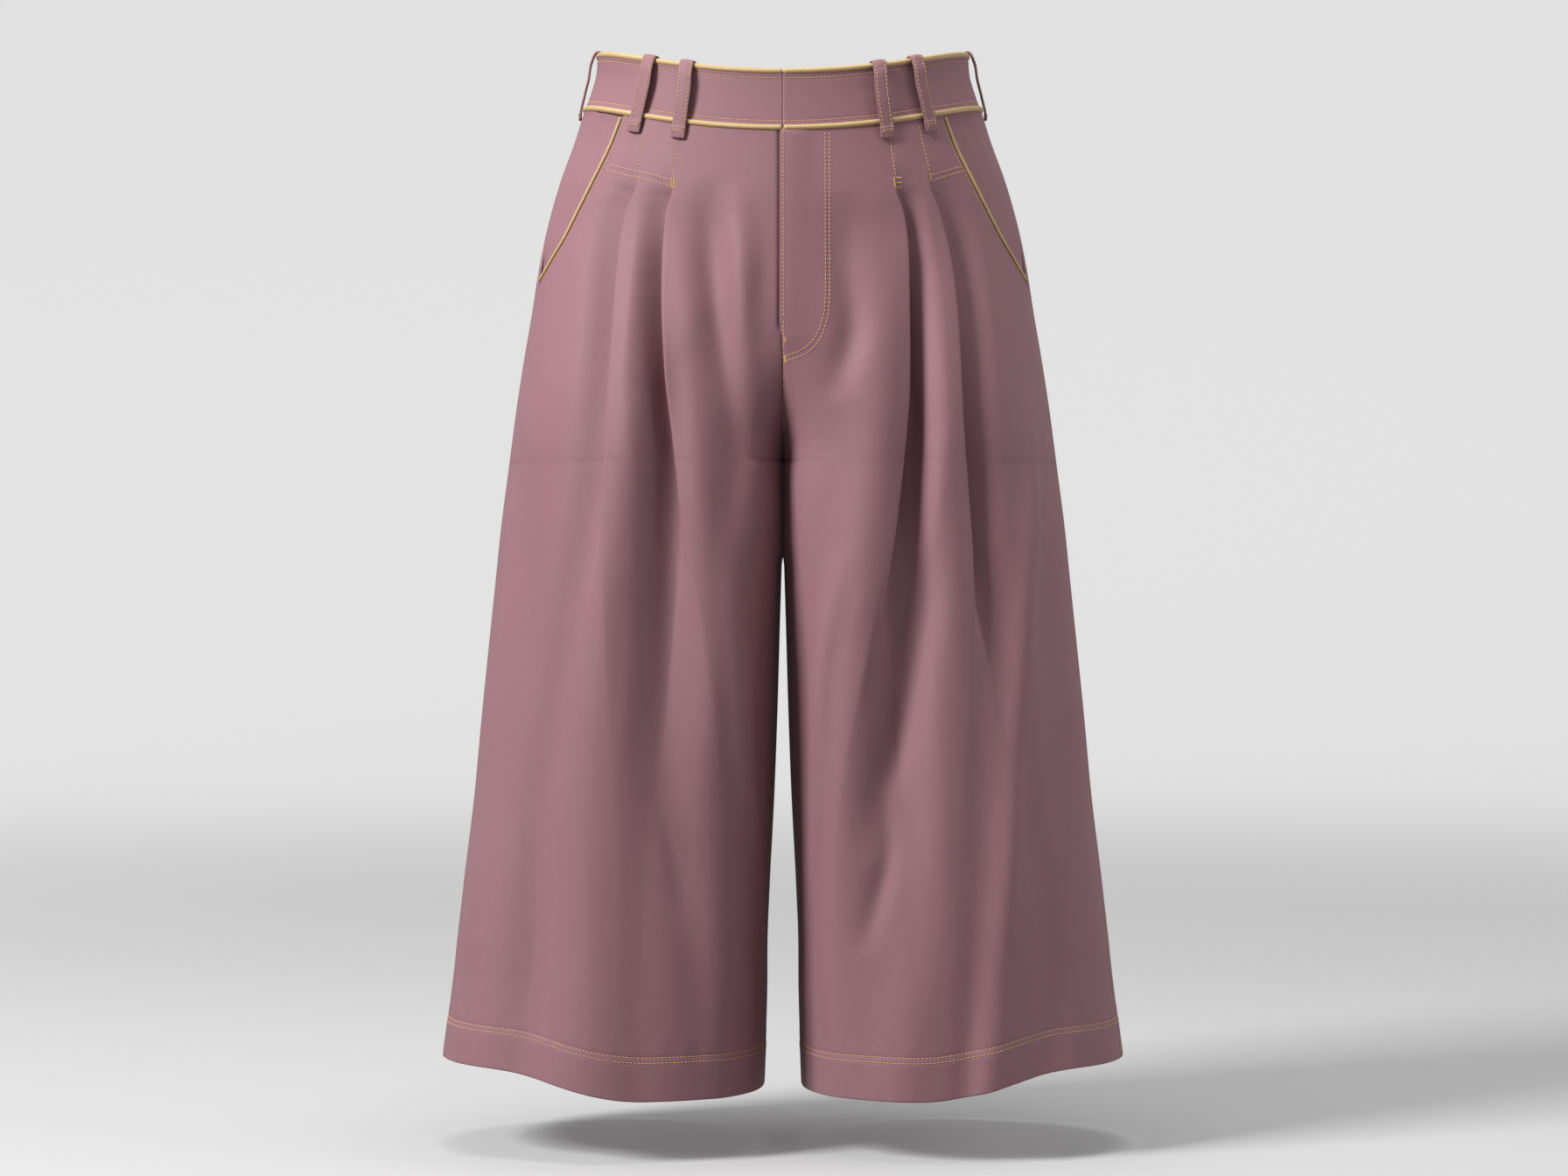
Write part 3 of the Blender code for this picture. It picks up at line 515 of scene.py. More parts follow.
def fold_profile(share, lap, depth, bend):
    """A knife pleat's fold from its lower layer (share 0) to its top layer (share 1).

    Two round bends of one radius are joined by a straight middle layer, and the second half is
    the first turned about the fold's middle. across is positive towards the side seam.
    """
    reach = np.abs(lap) + FOLD_MARGIN
    bend = np.minimum(bend, 0.98 * (lap * lap + depth * depth / 4) / depth)
    to_centre = np.hypot(lap, depth / 2 - bend)
    rise = np.arctan2(depth / 2 - bend, lap)
    rise = np.where(rise < 0, rise + 2 * np.pi, rise)
    turn = np.pi - rise + np.arcsin(bend / to_centre)
    straight = np.sqrt(to_centre**2 - bend**2)

    flat_effort = 0.3 * (reach + lap)
    bend_effort = turn * (bend + 2 * MM)
    effort = (flat_effort + bend_effort + straight) * (1 - np.abs(2 * share - 1))
    flat = np.clip(effort / flat_effort, 0, 1)
    bent = turn * np.clip((effort - flat_effort) / bend_effort, 0, 1)
    middle = np.clip((effort - flat_effort - bend_effort) / straight, 0, 1)

    across = (reach - (reach + lap) * flat - bend * np.sin(bent)) * (1 - middle)
    out = bend - depth - bend * np.cos(bent)
    out = out + (-depth / 2 - out) * middle
    top = share > 0.5
    return np.where(top, -across, across), np.where(top, -depth - out, out)


# %% [markdown]
# ## Sewn edges
#
# Where two panels are joined, the cloth rolls in towards the seam, so a seam reads as a fine
# groove. Along a row of topstitching the thread pulls the cloth down a little, and beside a hem's
# rows the cloth puckers. These are heights of a few tenths of a millimetre, but without them the
# garment looks like a shell of plastic.

# %% Relief along seams and stitching
SEAM_ROLL = 1.0 * MM
SEAM_ROLL_WIDTH = 2.8 * MM
STITCH_SINK = 0.28 * MM
STITCH_PULL_WIDTH = 1.1 * MM
HEM_ROWS = (719.7 * MM, 723.4 * MM)
HEM_FULLNESS = 0.35 * MM
PUCKER = 0.24 * MM
LEG_RADIUS = 0.115  # about the leg's size, which turns an angle into metres of cloth for the puckers


def seam_roll(distance):
    """The relief falls as a parabola to -SEAM_ROLL at the seam itself."""
    return -SEAM_ROLL * np.clip(1 - distance / SEAM_ROLL_WIDTH, 0, 1) ** 2


def stitched(distance):
    """A narrow bell-shaped groove along a row of stitches."""
    return -STITCH_SINK * np.exp(-((distance / STITCH_PULL_WIDTH) ** 2))


def puckers(across):
    """Uneven waves along a stitched edge: a sine whose phase and height wander."""
    wander = 1.7 * np.sin(across / (31 * MM)) + 0.9 * np.sin(across / (13.7 * MM))
    return np.sin(across / (2.9 * MM) + wander) * (0.65 + 0.35 * np.sin(across / (47 * MM) + 1))


def hem_relief(across, drop):
    """The turned-up hem stands out slightly, sinks at its two rows and puckers just above them."""
    upper, lower = HEM_ROWS
    full = HEM_FULLNESS * smoothstep((drop - upper) / (3 * MM))
    above = np.exp(-(((drop - upper + 4 * MM) / (6 * MM)) ** 2))
    beside = above + 0.5 * np.exp(-(((drop - lower) / (5 * MM)) ** 2))
    return full + stitched(drop - upper) + stitched(drop - lower) + PUCKER * beside * puckers(across)


# %% [markdown]
# ## Front panels
#
# A front panel runs from the pocket mouth, and below it the side seam, across both pleats to the
# centre front, and below the crotch to the inseam. `front_shape` gives the angle and relief of
# any column. The left front laps over the right as far as the fly opens, and the right front sinks
# in a narrow groove beside that lap, which gives the dark line in the picture.

# %% The front panels' shape
FLY_OVERLAP = 2.0 * MM
FLY_RISE = 1.6 * MM
FLY_REACH = 22 * MM
FLY_LAP_ENDS = (196 * MM, 208 * MM)
FLY_GROOVE, FLY_GROOVE_WIDTH = 1.5 * MM, 1.8 * MM
FLY_RISE_ENDS = (206 * MM, 226 * MM)

# The columns' own scale: side seam, outer pleat's fold, cloth between, inner pleat's fold, centre
COLUMN_KNOTS = np.array([0, 6, 14, 17, 25, 33])


def front_edges(drop, side):
    """The panel's first and last angle, and how far the fly's lap still holds, from 1 to 0."""
    mouth = np.where(drop < POCKET_END, angle_along(POCKET_MOUTH, drop), angle_along(SIDE_SEAM, drop))
    _, _, _, end = ring(drop, True)
    lapped = faded(drop, *FLY_LAP_ENDS)
    if side == "left":
        end = end + FLY_OVERLAP * lapped / ring_speed(end, drop)
    return mouth, end, lapped


def front_shape(column, drop, side):
    """The angle and relief of the front panel's outer face at a column and a drop."""
    table = PLEATS[side]
    lap, depth, bend = (along(table, name, drop) for name in ("lap", "depth", "bend"))
    start, end, lapped = front_edges(drop, side)
    pleat_angle, pleat_depth, pleat_speed = {}, {}, {}
    for name, share in (("outer", OUTER_PLEAT_DEPTH), ("inner", 1.0)):
        pleat_angle[name] = angle_at(along(table, name + "_x", drop), drop)
        pleat_depth[name] = depth * share
        pleat_speed[name] = ring_speed(pleat_angle[name], drop)
    reach = np.abs(lap) + FOLD_MARGIN
    knots = [
        start,
        pleat_angle["outer"] - reach / pleat_speed["outer"],
        pleat_angle["outer"] + reach / pleat_speed["outer"],
        pleat_angle["inner"] - reach / pleat_speed["inner"],
        pleat_angle["inner"] + reach / pleat_speed["inner"],
        end,
    ]
    c = COLUMN_KNOTS
    shape = np.broadcast(column, drop).shape
    angle, out = np.zeros(shape), np.zeros(shape)
    for i, pleat in ((0, "outer"), (2, "inner"), (4, None)):
        share = np.clip((column - c[i]) / (c[i + 1] - c[i]), 0, 1)
        here = (column >= c[i]) & (column <= c[i + 1])
        angle = np.where(here, knots[i] + (knots[i + 1] - knots[i]) * share, angle)
        if pleat:
            stretch = (knots[i + 1] - knots[i]) * pleat_speed[pleat]
            run = np.minimum(stretch, PLEAT_RUN)
            sunk = smoothstep(1 - (1 - share) * stretch / run)
            out = np.where(here, -pleat_depth[pleat] * sunk, out)
    for i, pleat in ((1, "outer"), (3, "inner")):
        share = np.clip((column - c[i]) / (c[i + 1] - c[i]), 0, 1)
        across, lift = fold_profile(share, lap, pleat_depth[pleat], bend)
        here = (column > c[i]) & (column < c[i + 1])
        angle = np.where(here, pleat_angle[pleat] - across / pleat_speed[pleat], angle)
        out = np.where(here, lift, out)

    out = out + soft_folds(FRONT_FOLDS[side] + FRONT_CREASES[side], angle, drop, True, start, end)
    from_centre = (end - angle) * ring_speed(end, drop)
    from_side = (angle - start) * ring_speed(start, drop)
    out = out + seam_roll(from_side) * np.where(drop < POCKET_END, 0.5, 1)
    out = out + seam_roll(from_centre) * (1 - lapped)
    out = out + hem_relief(angle * LEG_RADIUS, drop)
    if side == "left":
        rise = FLY_RISE * faded(drop, *FLY_RISE_ENDS)
        out = out + rise * smoothstep(1.2 - from_centre / FLY_REACH)
    else:
        beside = (from_centre - FLY_OVERLAP) / FLY_GROOVE_WIDTH
        out = out - FLY_GROOVE * lapped * np.exp(-(beside**2))
    return angle, out


# %% [markdown]
# The grid is fine where the shape is: columns crowd towards the seams and in the pleats, and rows
# towards the pleats' start and the hem.

# %% The front panels
LEGS_PART = (356 * MM, 374 * MM)
MEETING_REACH = 9 * MM


def rows_between(*stretches):
    """Drops in mm from (start, end, step) stretches, as a column of an array in metres."""
    drops = np.concatenate([np.arange(start, end, step) for start, end, step in stretches])
    return np.r_[drops, stretches[-1][1]][:, None] * MM


def meet(points, edge, touching):
    """Draws the cloth beside the middle line onto it, where touching is 1.

    x -= away * smoothstep(1 - (x - away) / MEETING_REACH), and away is how far the edge stands off.
    """
    away = points[:, edge, 0][:, None]
    near = smoothstep(1 - (points[..., 0] - away) / MEETING_REACH)
    points[..., 0] -= away * near * touching


def cloth_piece(name, angle, out, drop, side, edge=None):
    """A panel's shell: the solids' middle surface, moved out to its face and in by the cloth."""
    middle = place(angle, out - CLOTH / 2, drop)
    if edge is not None:
        below_fly = smoothstep((drop - FLY_LAP_ENDS[1]) / (14 * MM))
        meet(middle, edge, faded(drop, *LEGS_PART) * (below_fly if edge else 1))
    normal = grid_normals(middle)
    outer = middle + normal * CLOTH / 2
    layers = REAL_CLOTH + (HEM_CLOTH - REAL_CLOTH) * smoothstep((drop - HEM_ROWS[0]) / (2 * MM))
    return shell(name, outer, outer - normal * layers[..., None], side)


FRONT_ROWS = rows_between((43.2, 84, 3.4), (84, 126, 1.7), (126, 230, 2.6), (230, 700, 4.2), (700, 750, 1.1))
FRONT_COLUMNS = np.concatenate([
    3 * (1 - np.cos(np.linspace(0, np.pi, 36)))[:-1],
    np.linspace(6, 14, 29)[:-1],
    np.linspace(14, 17, 17)[:-1],
    np.linspace(17, 25, 29)[:-1],
    25 + 8 * np.sin(np.linspace(0, np.pi / 2, 54)),
])[None, :]

fronts = {}
for side in ("left", "right"):
    angle, out = front_shape(FRONT_COLUMNS, FRONT_ROWS, side)
    fronts[side] = cloth_piece("front_leg_" + side, angle, out, FRONT_ROWS, side, -1)
print("front panels:", len(fronts["left"].data.polygons), "faces each")

# %% [markdown]
# ## Back panels and hip pieces
#
# The picture doesn't show the back, so it is finished plainly: one panel a leg from the side seam
# to the centre back, a short dart below the waistband, and soft folds like those in front. A hip
# piece shows between each slanting pocket mouth and the side seam.

# %% Back panels
DART_X = 62
DART_END = 112 * MM


def back_shape(column, drop, side):
    """Column 0 is the centre back or the inseam, and column 1 the side seam."""
    seam = angle_along(SIDE_SEAM, drop)
    _, _, _, end = ring(drop, False)
    angle = (seam + end) * column - end
    out = soft_folds(BACK_FOLDS + BACK_CREASES[side], -angle, drop, False, -seam, end)
    dart = (-angle - angle_at(DART_X * MM, drop, False)) * ring_speed(angle, drop)
    held = faded(drop, DART_END - 12 * MM, DART_END)
    out = out + 2.2 * held * stitched(dart)
    out = out + seam_roll((seam - angle) * ring_speed(seam, drop))
    out = out + seam_roll((angle + end) * ring_speed(-end, drop))
    return angle, out + hem_relief(angle * LEG_RADIUS, drop)


BACK_ROWS = rows_between((43.2, 130, 2.8), (130, 700, 4.2), (700, 750, 1.1))
t = np.linspace(0, 1, 172)[None, :]
BACK_COLUMNS = t - 0.75 * np.sin(2 * np.pi * t) / (2 * np.pi)  # crowded towards both seams

backs = {}
for side in ("left", "right"):
    angle, out = back_shape(BACK_COLUMNS, BACK_ROWS, side)
    backs[side] = cloth_piece("back_leg_" + side, angle, out, BACK_ROWS, side, 0)
print("back panels:", len(backs["left"].data.polygons), "faces each")

# %% Hip pieces behind the pocket mouths
POCKET_UNDERLAP = 9 * MM
POCKET_SINK = 2.3 * MM
HIP_CREASES = ((0.42, 0.09, 0.8 * MM), (0.72, 0.07, 0.55 * MM))  # place and width as shares, height


def hip_shape(column, drop, side):
    """The piece sinks under the front panel's mouth and carries two soft creases down its slant."""
    seam = angle_along(SIDE_SEAM, drop)
    mouth = np.where(drop < POCKET_END, angle_along(POCKET_MOUTH, drop), seam)
    end = mouth + POCKET_UNDERLAP / ring_speed(mouth, drop)
    angle = seam + (end - seam) * column
    share = np.clip((angle - seam) / np.maximum(mouth - seam, 1e-4), 0, 1)
    sunk = np.maximum(smoothstep(share * 1.25), smoothstep((drop - 0.135) / 0.025))
    creases = sum(high * np.exp(-(((share - at) / wide) ** 2)) for at, wide, high in HIP_CREASES)
    out = -POCKET_SINK * sunk + creases * faded(drop, 60 * MM, 130 * MM)
    return angle, out + seam_roll((angle - seam) * ring_speed(seam, drop))


HIP_ROWS = rows_between((43.2, 182, 1.9))
hips = {}
for side in ("left", "right"):
    angle, out = hip_shape(np.linspace(0, 1, 44)[None, :] ** 1.4, HIP_ROWS, side)
    hips[side] = cloth_piece("hip_piece_" + side, angle, out, HIP_ROWS, side)
print("hip pieces:", len(hips["left"].data.polygons), "faces each")

# %% [markdown]
# ## Waistband and piping
#
# The waistband is a stiffened double band in four lengths. They roll in where they meet, half as
# far at the centre as at the side seams, because the picture shows only a faint edge there. Gold
# piping, a cord covered in satin cut on the cross, runs round its top edge and in the seam below
# it, and along both pocket mouths. A piping is a circle carried along a path, so it is a grid
# too: one direction follows the path, the other goes round the cord.

# %% Waistband
WAIST_PIPING_RADIUS = 2.0 * MM
BAND_ROWS = (6.9 * MM, 36.4 * MM)
BAND_WAVE = 0.25 * MM


def band_shape(angle, drop):
    """The band's face: it sinks at its two rows of stitches, is fuller between, and waves a little."""
    top, bottom = BAND_ROWS
    full = 0.5 * MM * np.sin(np.pi * np.clip((drop - top) / (bottom - top), 0, 1))
    wave = BAND_WAVE * np.sin(angle * 7.3 + 0.8) * np.sin(np.pi * drop / WAIST_SEAM)
    pucker = 0.12 * MM * puckers(angle * 0.12)
    near = sum(np.exp(-(((drop - row) / (3 * MM)) ** 2)) for row in BAND_ROWS)
    return full + wave + pucker * near + stitched(drop - top) + stitched(drop - bottom)


BAND_DROPS = np.linspace(3.6, 39.2, 30)[:, None] * MM
bands = {}
for side in ("left", "right"):
    seam = angle_along(SIDE_SEAM, np.zeros(1))[0]
    for half, first, last, at_centre in (("front", seam, np.pi / 2, -1), ("back", -np.pi / 2, seam, 0)):
        share = np.linspace(0, 1, 120)[None, :]
        angle = first + (last - first) * (share - 0.6 * np.sin(2 * np.pi * share) / (2 * np.pi))
        at_side, at_middle = angle - first, last - angle
        if half == "back":
            at_side, at_middle = at_middle, at_side
        from_ends = np.minimum(at_side, 2 * at_middle) * ring_speed(angle, BAND_DROPS)
        out = band_shape(angle, BAND_DROPS) + 0.5 * seam_roll(from_ends * 1.6)
        outer = place(angle, out, BAND_DROPS)
        inner = place(angle, out * 0 - BAND_CLOTH, BAND_DROPS)
        outer[:, at_centre, 0] = inner[:, at_centre, 0] = 0
        bands[half, side] = shell(f"waistband_{half}_piece_{side}", outer, inner, side)
print("waistband pieces:", len(bands))

# %% Piping
CORD_SIDES = 14
POCKET_PIPING_RADIUS = 1.2 * MM


def cord_along(name, path, radius, outward, side="left"):
    """A round cord: each point of the path carries a circle square to it, and the ends are closed.

    The last circle at each end shrinks to a point, so that the cord has no flat cap.
    """
    ahead = np.gradient(path, axis=0)
    ahead /= np.linalg.norm(ahead, axis=1, keepdims=True)
    up = np.cross(ahead, outward)
    up /= np.linalg.norm(up, axis=1, keepdims=True)
    side_way = np.cross(up, ahead)
    turn = np.linspace(0, 2 * np.pi, CORD_SIDES + 1)
    thick = np.full(len(path), radius)
    thick[[0, -1]] = 1e-6
    circle = (side_way[:, None] * np.cos(turn)[:, None] + up[:, None] * np.sin(turn)[:, None])
    points = path[:, None] + circle * thick[:, None, None]
    length = np.r_[0, np.linalg.norm(np.diff(path, axis=0), axis=1).cumsum()]
    uv = np.stack(np.broadcast_arrays(length[:, None], turn * radius), -1).reshape(-1, 2)
    faces = grid_faces(len(path), CORD_SIDES + 1)
    faces = faces if side == "left" else faces[:, ::-1]
    return closed(new_piece(name, mirrored(points, side).reshape(-1, 3), faces, uv))


def closed(piece):
    """Merges the points where a grid meets itself, and turns every face outwards."""
    mesh = bmesh.new()
    mesh.from_mesh(piece.data)
    bmesh.ops.remove_doubles(mesh, verts=mesh.verts, dist=3e-6)
    bmesh.ops.dissolve_degenerate(mesh, edges=mesh.edges, dist=1e-7)
    bmesh.ops.recalc_face_normals(mesh, faces=mesh.faces)
    mesh.to_mesh(piece.data)
    mesh.free()
    return piece


def round_waist(drop, out):
    """A path at one drop from the centre front round the back to the centre front again."""
    half = np.linspace(np.pi / 2, -np.pi / 2, 340)
    left = place(half, out, np.full(half.shape, drop))
    outward = place(half, out + 1 * MM, np.full(half.shape, drop)) - left
    left[0, 0], left[-1, 0] = 0.1 * MM, 0
    return [np.concatenate([v, mirrored(v[-2::-1], "right")]) for v in (left, outward)]


path, outward = round_waist(WAIST_PIPING_RADIUS, -BAND_CLOTH / 2 + 0.4 * MM)
top_piping = cord_along("piping_top_edge", path, WAIST_PIPING_RADIUS, outward)
path, outward = round_waist(WAIST_SEAM, -0.2 * MM)
seam_piping = cord_along("piping_below_band", path, WAIST_PIPING_RADIUS, outward)

mouth_drops = np.linspace(44.5, 167, 160) * MM
mouth = angle_along(POCKET_MOUTH, mouth_drops)
speed = ring_speed(mouth, mouth_drops)
slant = np.gradient(mouth, mouth_drops) * speed
beside = (POCKET_PIPING_RADIUS + 0.3 * MM) * np.hypot(1, slant) / speed
path = place(mouth - beside, np.full(mouth.shape, 0.1 * MM), mouth_drops)
outward = place(mouth - beside, np.full(mouth.shape, 1.1 * MM), mouth_drops) - path
pocket_pipings = {
    side: cord_along("piping_mouth_" + side, path, POCKET_PIPING_RADIUS, outward, side)
    for side in ("left", "right")
}
print("piping round the waist:", len(top_piping.data.vertices), "points each")

# %% [markdown]
# ## Belt loops
#
# A belt loop is a folded strip, topstitched along both edges. It is caught inside the waistband,
# bends over the top piping, bows out to leave room for a belt, and is folded under and tacked
# down below the lower piping. Its path is a short table of drops and heights, read as a smooth
# curve.

# %% Belt loops
LOOP_WIDTH = 10 * MM
LOOP_CLOTH = 1.3 * MM
LOOP_END_CLOTH = 1.9 * MM
LOOP_FOLD = 0.87  # the share of its length from which the strap is double
LOOP_ROWS = (-3.4 * MM, 3.4 * MM)
LoopPoint = namedtuple("LoopPoint", "drop out")
LOOP_PATH = [  # the strap's inner face, from its sewn end inside the waistband to the one below it
    LoopPoint(12, -3.3), LoopPoint(5, -3.3), LoopPoint(0.7, -3.3), LoopPoint(-0.4, -1.6),
    LoopPoint(-0.4, 0.2), LoopPoint(0.7, 1.6), LoopPoint(4, 3.0), LoopPoint(11, 4.9),
    LoopPoint(25, 4.9), LoopPoint(40.5, 2.5), LoopPoint(47, 1.6), LoopPoint(52.5, 0.5),
]
SIDE_LOOP_END = 47
LoopPlace = namedtuple("LoopPlace", "name angle lean side end node")


def smooth_path(points, count):
    """A Catmull-Rom curve through the points: each stretch blends its two ends and their slopes."""
    points = np.array(points, float)
    slope = np.gradient(points, axis=0)
    at = np.linspace(0, len(points) - 1, count)
    i = np.minimum(at.astype(int), len(points) - 2)
    t = (at - i)[:, None]
    return (
        points[i] * (1 + 2 * t) * (1 - t) ** 2 + slope[i] * t * (1 - t) ** 2
        + points[i + 1] * t * t * (3 - 2 * t) - slope[i + 1] * t * t * (1 - t)
    )


def strap_point(loop, across, share, lift):
    """A point on a loop: across from its middle line, share of its length, and lift off its inner face."""
    path = np.array(LOOP_PATH, float)
    path[-2:, 0] = (path[-3, 0] + loop.end) / 2, loop.end
    path = smooth_path(path, 400) * MM
    ahead = np.gradient(path, axis=0)
    ahead /= np.linalg.norm(ahead, axis=1, keepdims=True)
    at = share * (len(path) - 1)
    drop, out, ahead_drop, ahead_out = (np.interp(at, np.arange(len(path)), v) for v in (*path.T, *ahead.T))
    drop, out = drop - ahead_out * lift, out + ahead_drop * lift
    centre = loop.angle - loop.lean * drop / WAIST_SEAM
    drop, out, centre = np.broadcast_arrays(drop, out, centre)
    return place(centre + across / ring_speed(centre, np.maximum(drop, 0)), out, drop)


def strap_thickness(share):
    """The strap is double where its end is folded under."""
    return LOOP_CLOTH + (LOOP_END_CLOTH - LOOP_CLOTH) * smoothstep((share - LOOP_FOLD) / 0.02)


def make_loop(loop):
    """The strap's outer face is fuller between its two rows and sinks at each of them."""
    across = (np.linspace(-0.5, 0.5, 23) * (LOOP_WIDTH - 1 * MM))[None, :]
    share = np.linspace(0, 1, 90)[:, None]
    full = 0.25 * MM * (1 - (across / LOOP_WIDTH * 2) ** 2)
    sewn = sum(0.8 * stitched((across - row) * 1.2) for row in LOOP_ROWS)
    outer = strap_point(loop, across, share, strap_thickness(share) + full + sewn)
    inner = strap_point(loop, across, share, 0 * share)
    return shell(loop.name, outer, inner, loop.side)


LOOPS = [LoopPlace("belt_loop_back", -math.pi / 2, 0, "left", 52.5, "loop_centre_back")]
for side in ("left", "right"):
    LOOPS += [
        LoopPlace(f"belt_loop_{side}_inner", math.radians(60.2), 0, side, 52.5, f"loop_front_{side}_inner"),
        LoopPlace(f"belt_loop_{side}_outer", math.radians(46), 0.016, side, 52.5, f"loop_front_{side}_outer"),
        LoopPlace(f"belt_loop_{side}_side", math.radians(1.5), 0, side, SIDE_LOOP_END, f"loop_side_{side}"),
    ]
straps = {loop.name: make_loop(loop) for loop in LOOPS}
print("belt loops:", len(straps))

# %% [markdown]
# ## Stitches
#
# A row of topstitching is hundreds of short threads, each coming up out of the cloth and going
# down again. One stitch has five rings of five points. All the stitches of a row are made in one
# sum: where each one is, the way it runs and the way the cloth faces there, times the shape of
# one stitch. A ray towards the cloth finds the place of each point of a row.

# %% Stitches as one array
STITCH_PITCH = 2.8 * MM
STITCH_LENGTH = 2.35 * MM
THREAD_RADIUS = 0.36 * MM
STITCH_SIDES = 5
Row = namedtuple("Row", "points normals")


def unit(v):
    """Vectors brought to length 1."""
    return v / np.maximum(np.linalg.norm(v, axis=-1, keepdims=True), 1e-12)


def stitches_at(centre, ahead, normal, length, radius=THREAD_RADIUS):
    """Points of many stitches. A stitch arches: lift = radius * (0.55 - 1.1 s^2) for s from -1 to 1."""
    s = np.array([-1, -0.72, 0, 0.72, 1])
    thick = radius * np.array([0.35, 0.9, 1, 0.9, 0.35])
    turn = np.linspace(0, 2 * np.pi, STITCH_SIDES, endpoint=False)
    sideways = np.cross(ahead, normal)
    ring_of = (
        sideways[:, None, None] * (np.cos(turn)[:, None] * thick[:, None, None])
        + normal[:, None, None] * (np.sin(turn)[:, None] * thick[:, None, None] * 0.8)
    )
    lift = radius * (0.55 - 1.1 * s**2)
    line = centre[:, None] + ahead[:, None] * (s[:, None] * length / 2) + normal[:, None] * lift[:, None]
    return line[:, :, None] + ring_of


def thread_piece(name, blocks):
    """One joined mesh from blocks of stitches, with a flat cap at each end of each stitch."""
    points = np.concatenate(blocks)
    count, rings, sides = points.shape[:3]
    ring_index = np.arange(rings * sides).reshape(rings, sides)
    a, b = ring_index[:-1], ring_index[1:]
    tube = np.stack([a, b, np.roll(b, -1, 1), np.roll(a, -1, 1)], -1).reshape(-1, 4)
    caps = [ring_index[0].tolist(), ring_index[-1, ::-1].tolist()]
    faces = [
        [v + first for v in face]
        for first in range(0, count * rings * sides, rings * sides)
        for face in tube.tolist() + caps
    ]
    return new_piece(name, points.reshape(-1, 3), faces)


def evenly(row, pitch=STITCH_PITCH):
    """Points, directions and normals one pitch apart along a row."""
    length = np.r_[0, np.linalg.norm(np.diff(row.points, axis=0), axis=1).cumsum()]
    at = np.arange(pitch / 2, length[-1], pitch)

    def read(values, where):
        return np.stack([np.interp(where, length, v) for v in values.T], -1)

    ahead = unit(read(row.points, at + 0.5 * MM) - read(row.points, at - 0.5 * MM))
    return read(row.points, at), ahead, unit(read(row.normals, at))


def sewn_row(row):
    """Stitches one pitch apart along a row."""
    centre, ahead, normal = evenly(row)
    return stitches_at(centre, ahead, normal, STITCH_LENGTH)


def bar_tack(middle, ahead, normal, length, width):
    """Close stitches across a short bar that runs ahead."""
    steps = np.arange(-length / 2, length / 2, 0.5 * MM)[:, None]
    across = np.cross(ahead, normal) + 0 * steps
    lean = unit(across + 0.12 * ahead * np.where(np.arange(len(steps)) % 2, 1, -1)[:, None])
    return stitches_at(middle + steps * ahead, lean, normal + 0 * steps, width, 0.3 * MM)


def tree_of(*pieces):
    """A search tree over the faces of some pieces."""
    points, faces = [], []
    for piece in pieces:
        first = len(points)
        points += [v.co.copy() for v in piece.data.vertices]
        faces += [[first + v for v in face.vertices] for face in piece.data.polygons]
    return BVHTree.FromPolygons(points, faces)


def cast(tree, starts, directions):
    """The row of places where rays meet the cloth, leaving out the rays that miss it."""
    hits = [tree.ray_cast(Vector(s), Vector(d)) for s, d in zip(starts, directions)]
    hits = [(spot, normal) for spot, normal, _, _ in hits if spot is not None]
    return Row(np.array([h[0] for h in hits]), np.array([h[1] for h in hits]))


def round_row(tree, angles, drops, side):
    """A row laid on the cloth at some angles and drops, from outside the garment."""
    angles, drops = np.broadcast_arrays(np.asarray(angles, float), np.asarray(drops, float))
    starts, ends = place(angles, 0.025, drops), place(angles, 0.0, drops)
    return cast(tree, mirrored(starts, side), mirrored(ends - starts, side))


def front_row(tree, x, z, side):
    """A row laid on the cloth from straight in front, at some x and z in mm."""
    x, z = smooth_path(np.stack([x, z], -1), 24 * len(x)).T * MM
    starts = np.stack([x, np.full(x.shape, -0.3), z], -1)
    return cast(tree, mirrored(starts, side), np.tile([0.0, 1.0, 0.0], (len(x), 1)))


print("a stitch has", 5 * STITCH_SIDES, "points")

# %% [markdown]
# The rows are read off the picture as x and z in mm. Each leg has its own: the pleats are caught
# by different tacks, and only the left front has the fly's curved double row.

# %% Where the rows run
FRONT_STITCHES = {
    "left": [
        [(75.7, -71.8), (77.5, -86.3), (79.9, -100.2)],
        [(96.5, -62.3), (100.2, -78.6), (104.3, -95.4)],
        [(105.7, -97.3), (116.6, -93.3), (126.4, -89.6)],
        [(107.0, -100.9), (117.9, -96.7), (127.6, -92.9)],
        [(29.8, -69.5), (29.8, -131), (29.7, -187), (27.2, -203.5), (22.6, -214.5), (14.5, -222.8),
         (0.6, -228.4)],
        [(32.9, -69.5), (32.8, -131), (32.7, -188), (30.2, -205.0), (25.2, -217.2), (16.5, -226),
         (0.6, -231.8)],
        [(0.3, -69.4), (0.3, -140), (0.4, -200)],
        [(0.5, -203), (0.7, -240), (0.7, -278)],
    ],
    "right": [
        [(97.7, -67.3), (101.4, -84.9), (104.4, -99.0)],
        [(74.4, -71.9), (76.2, -87.6), (77.9, -101.6)],
        [(123.6, -88.7), (105.1, -94.2), (89.3, -98.9), (78.9, -102.2)],
        [(126.2, -92.3), (109.6, -97.6), (92.4, -102.5), (79.2, -106.6)],
    ],
}
BarTack = namedtuple("BarTack", "x z ahead_x ahead_z length width")
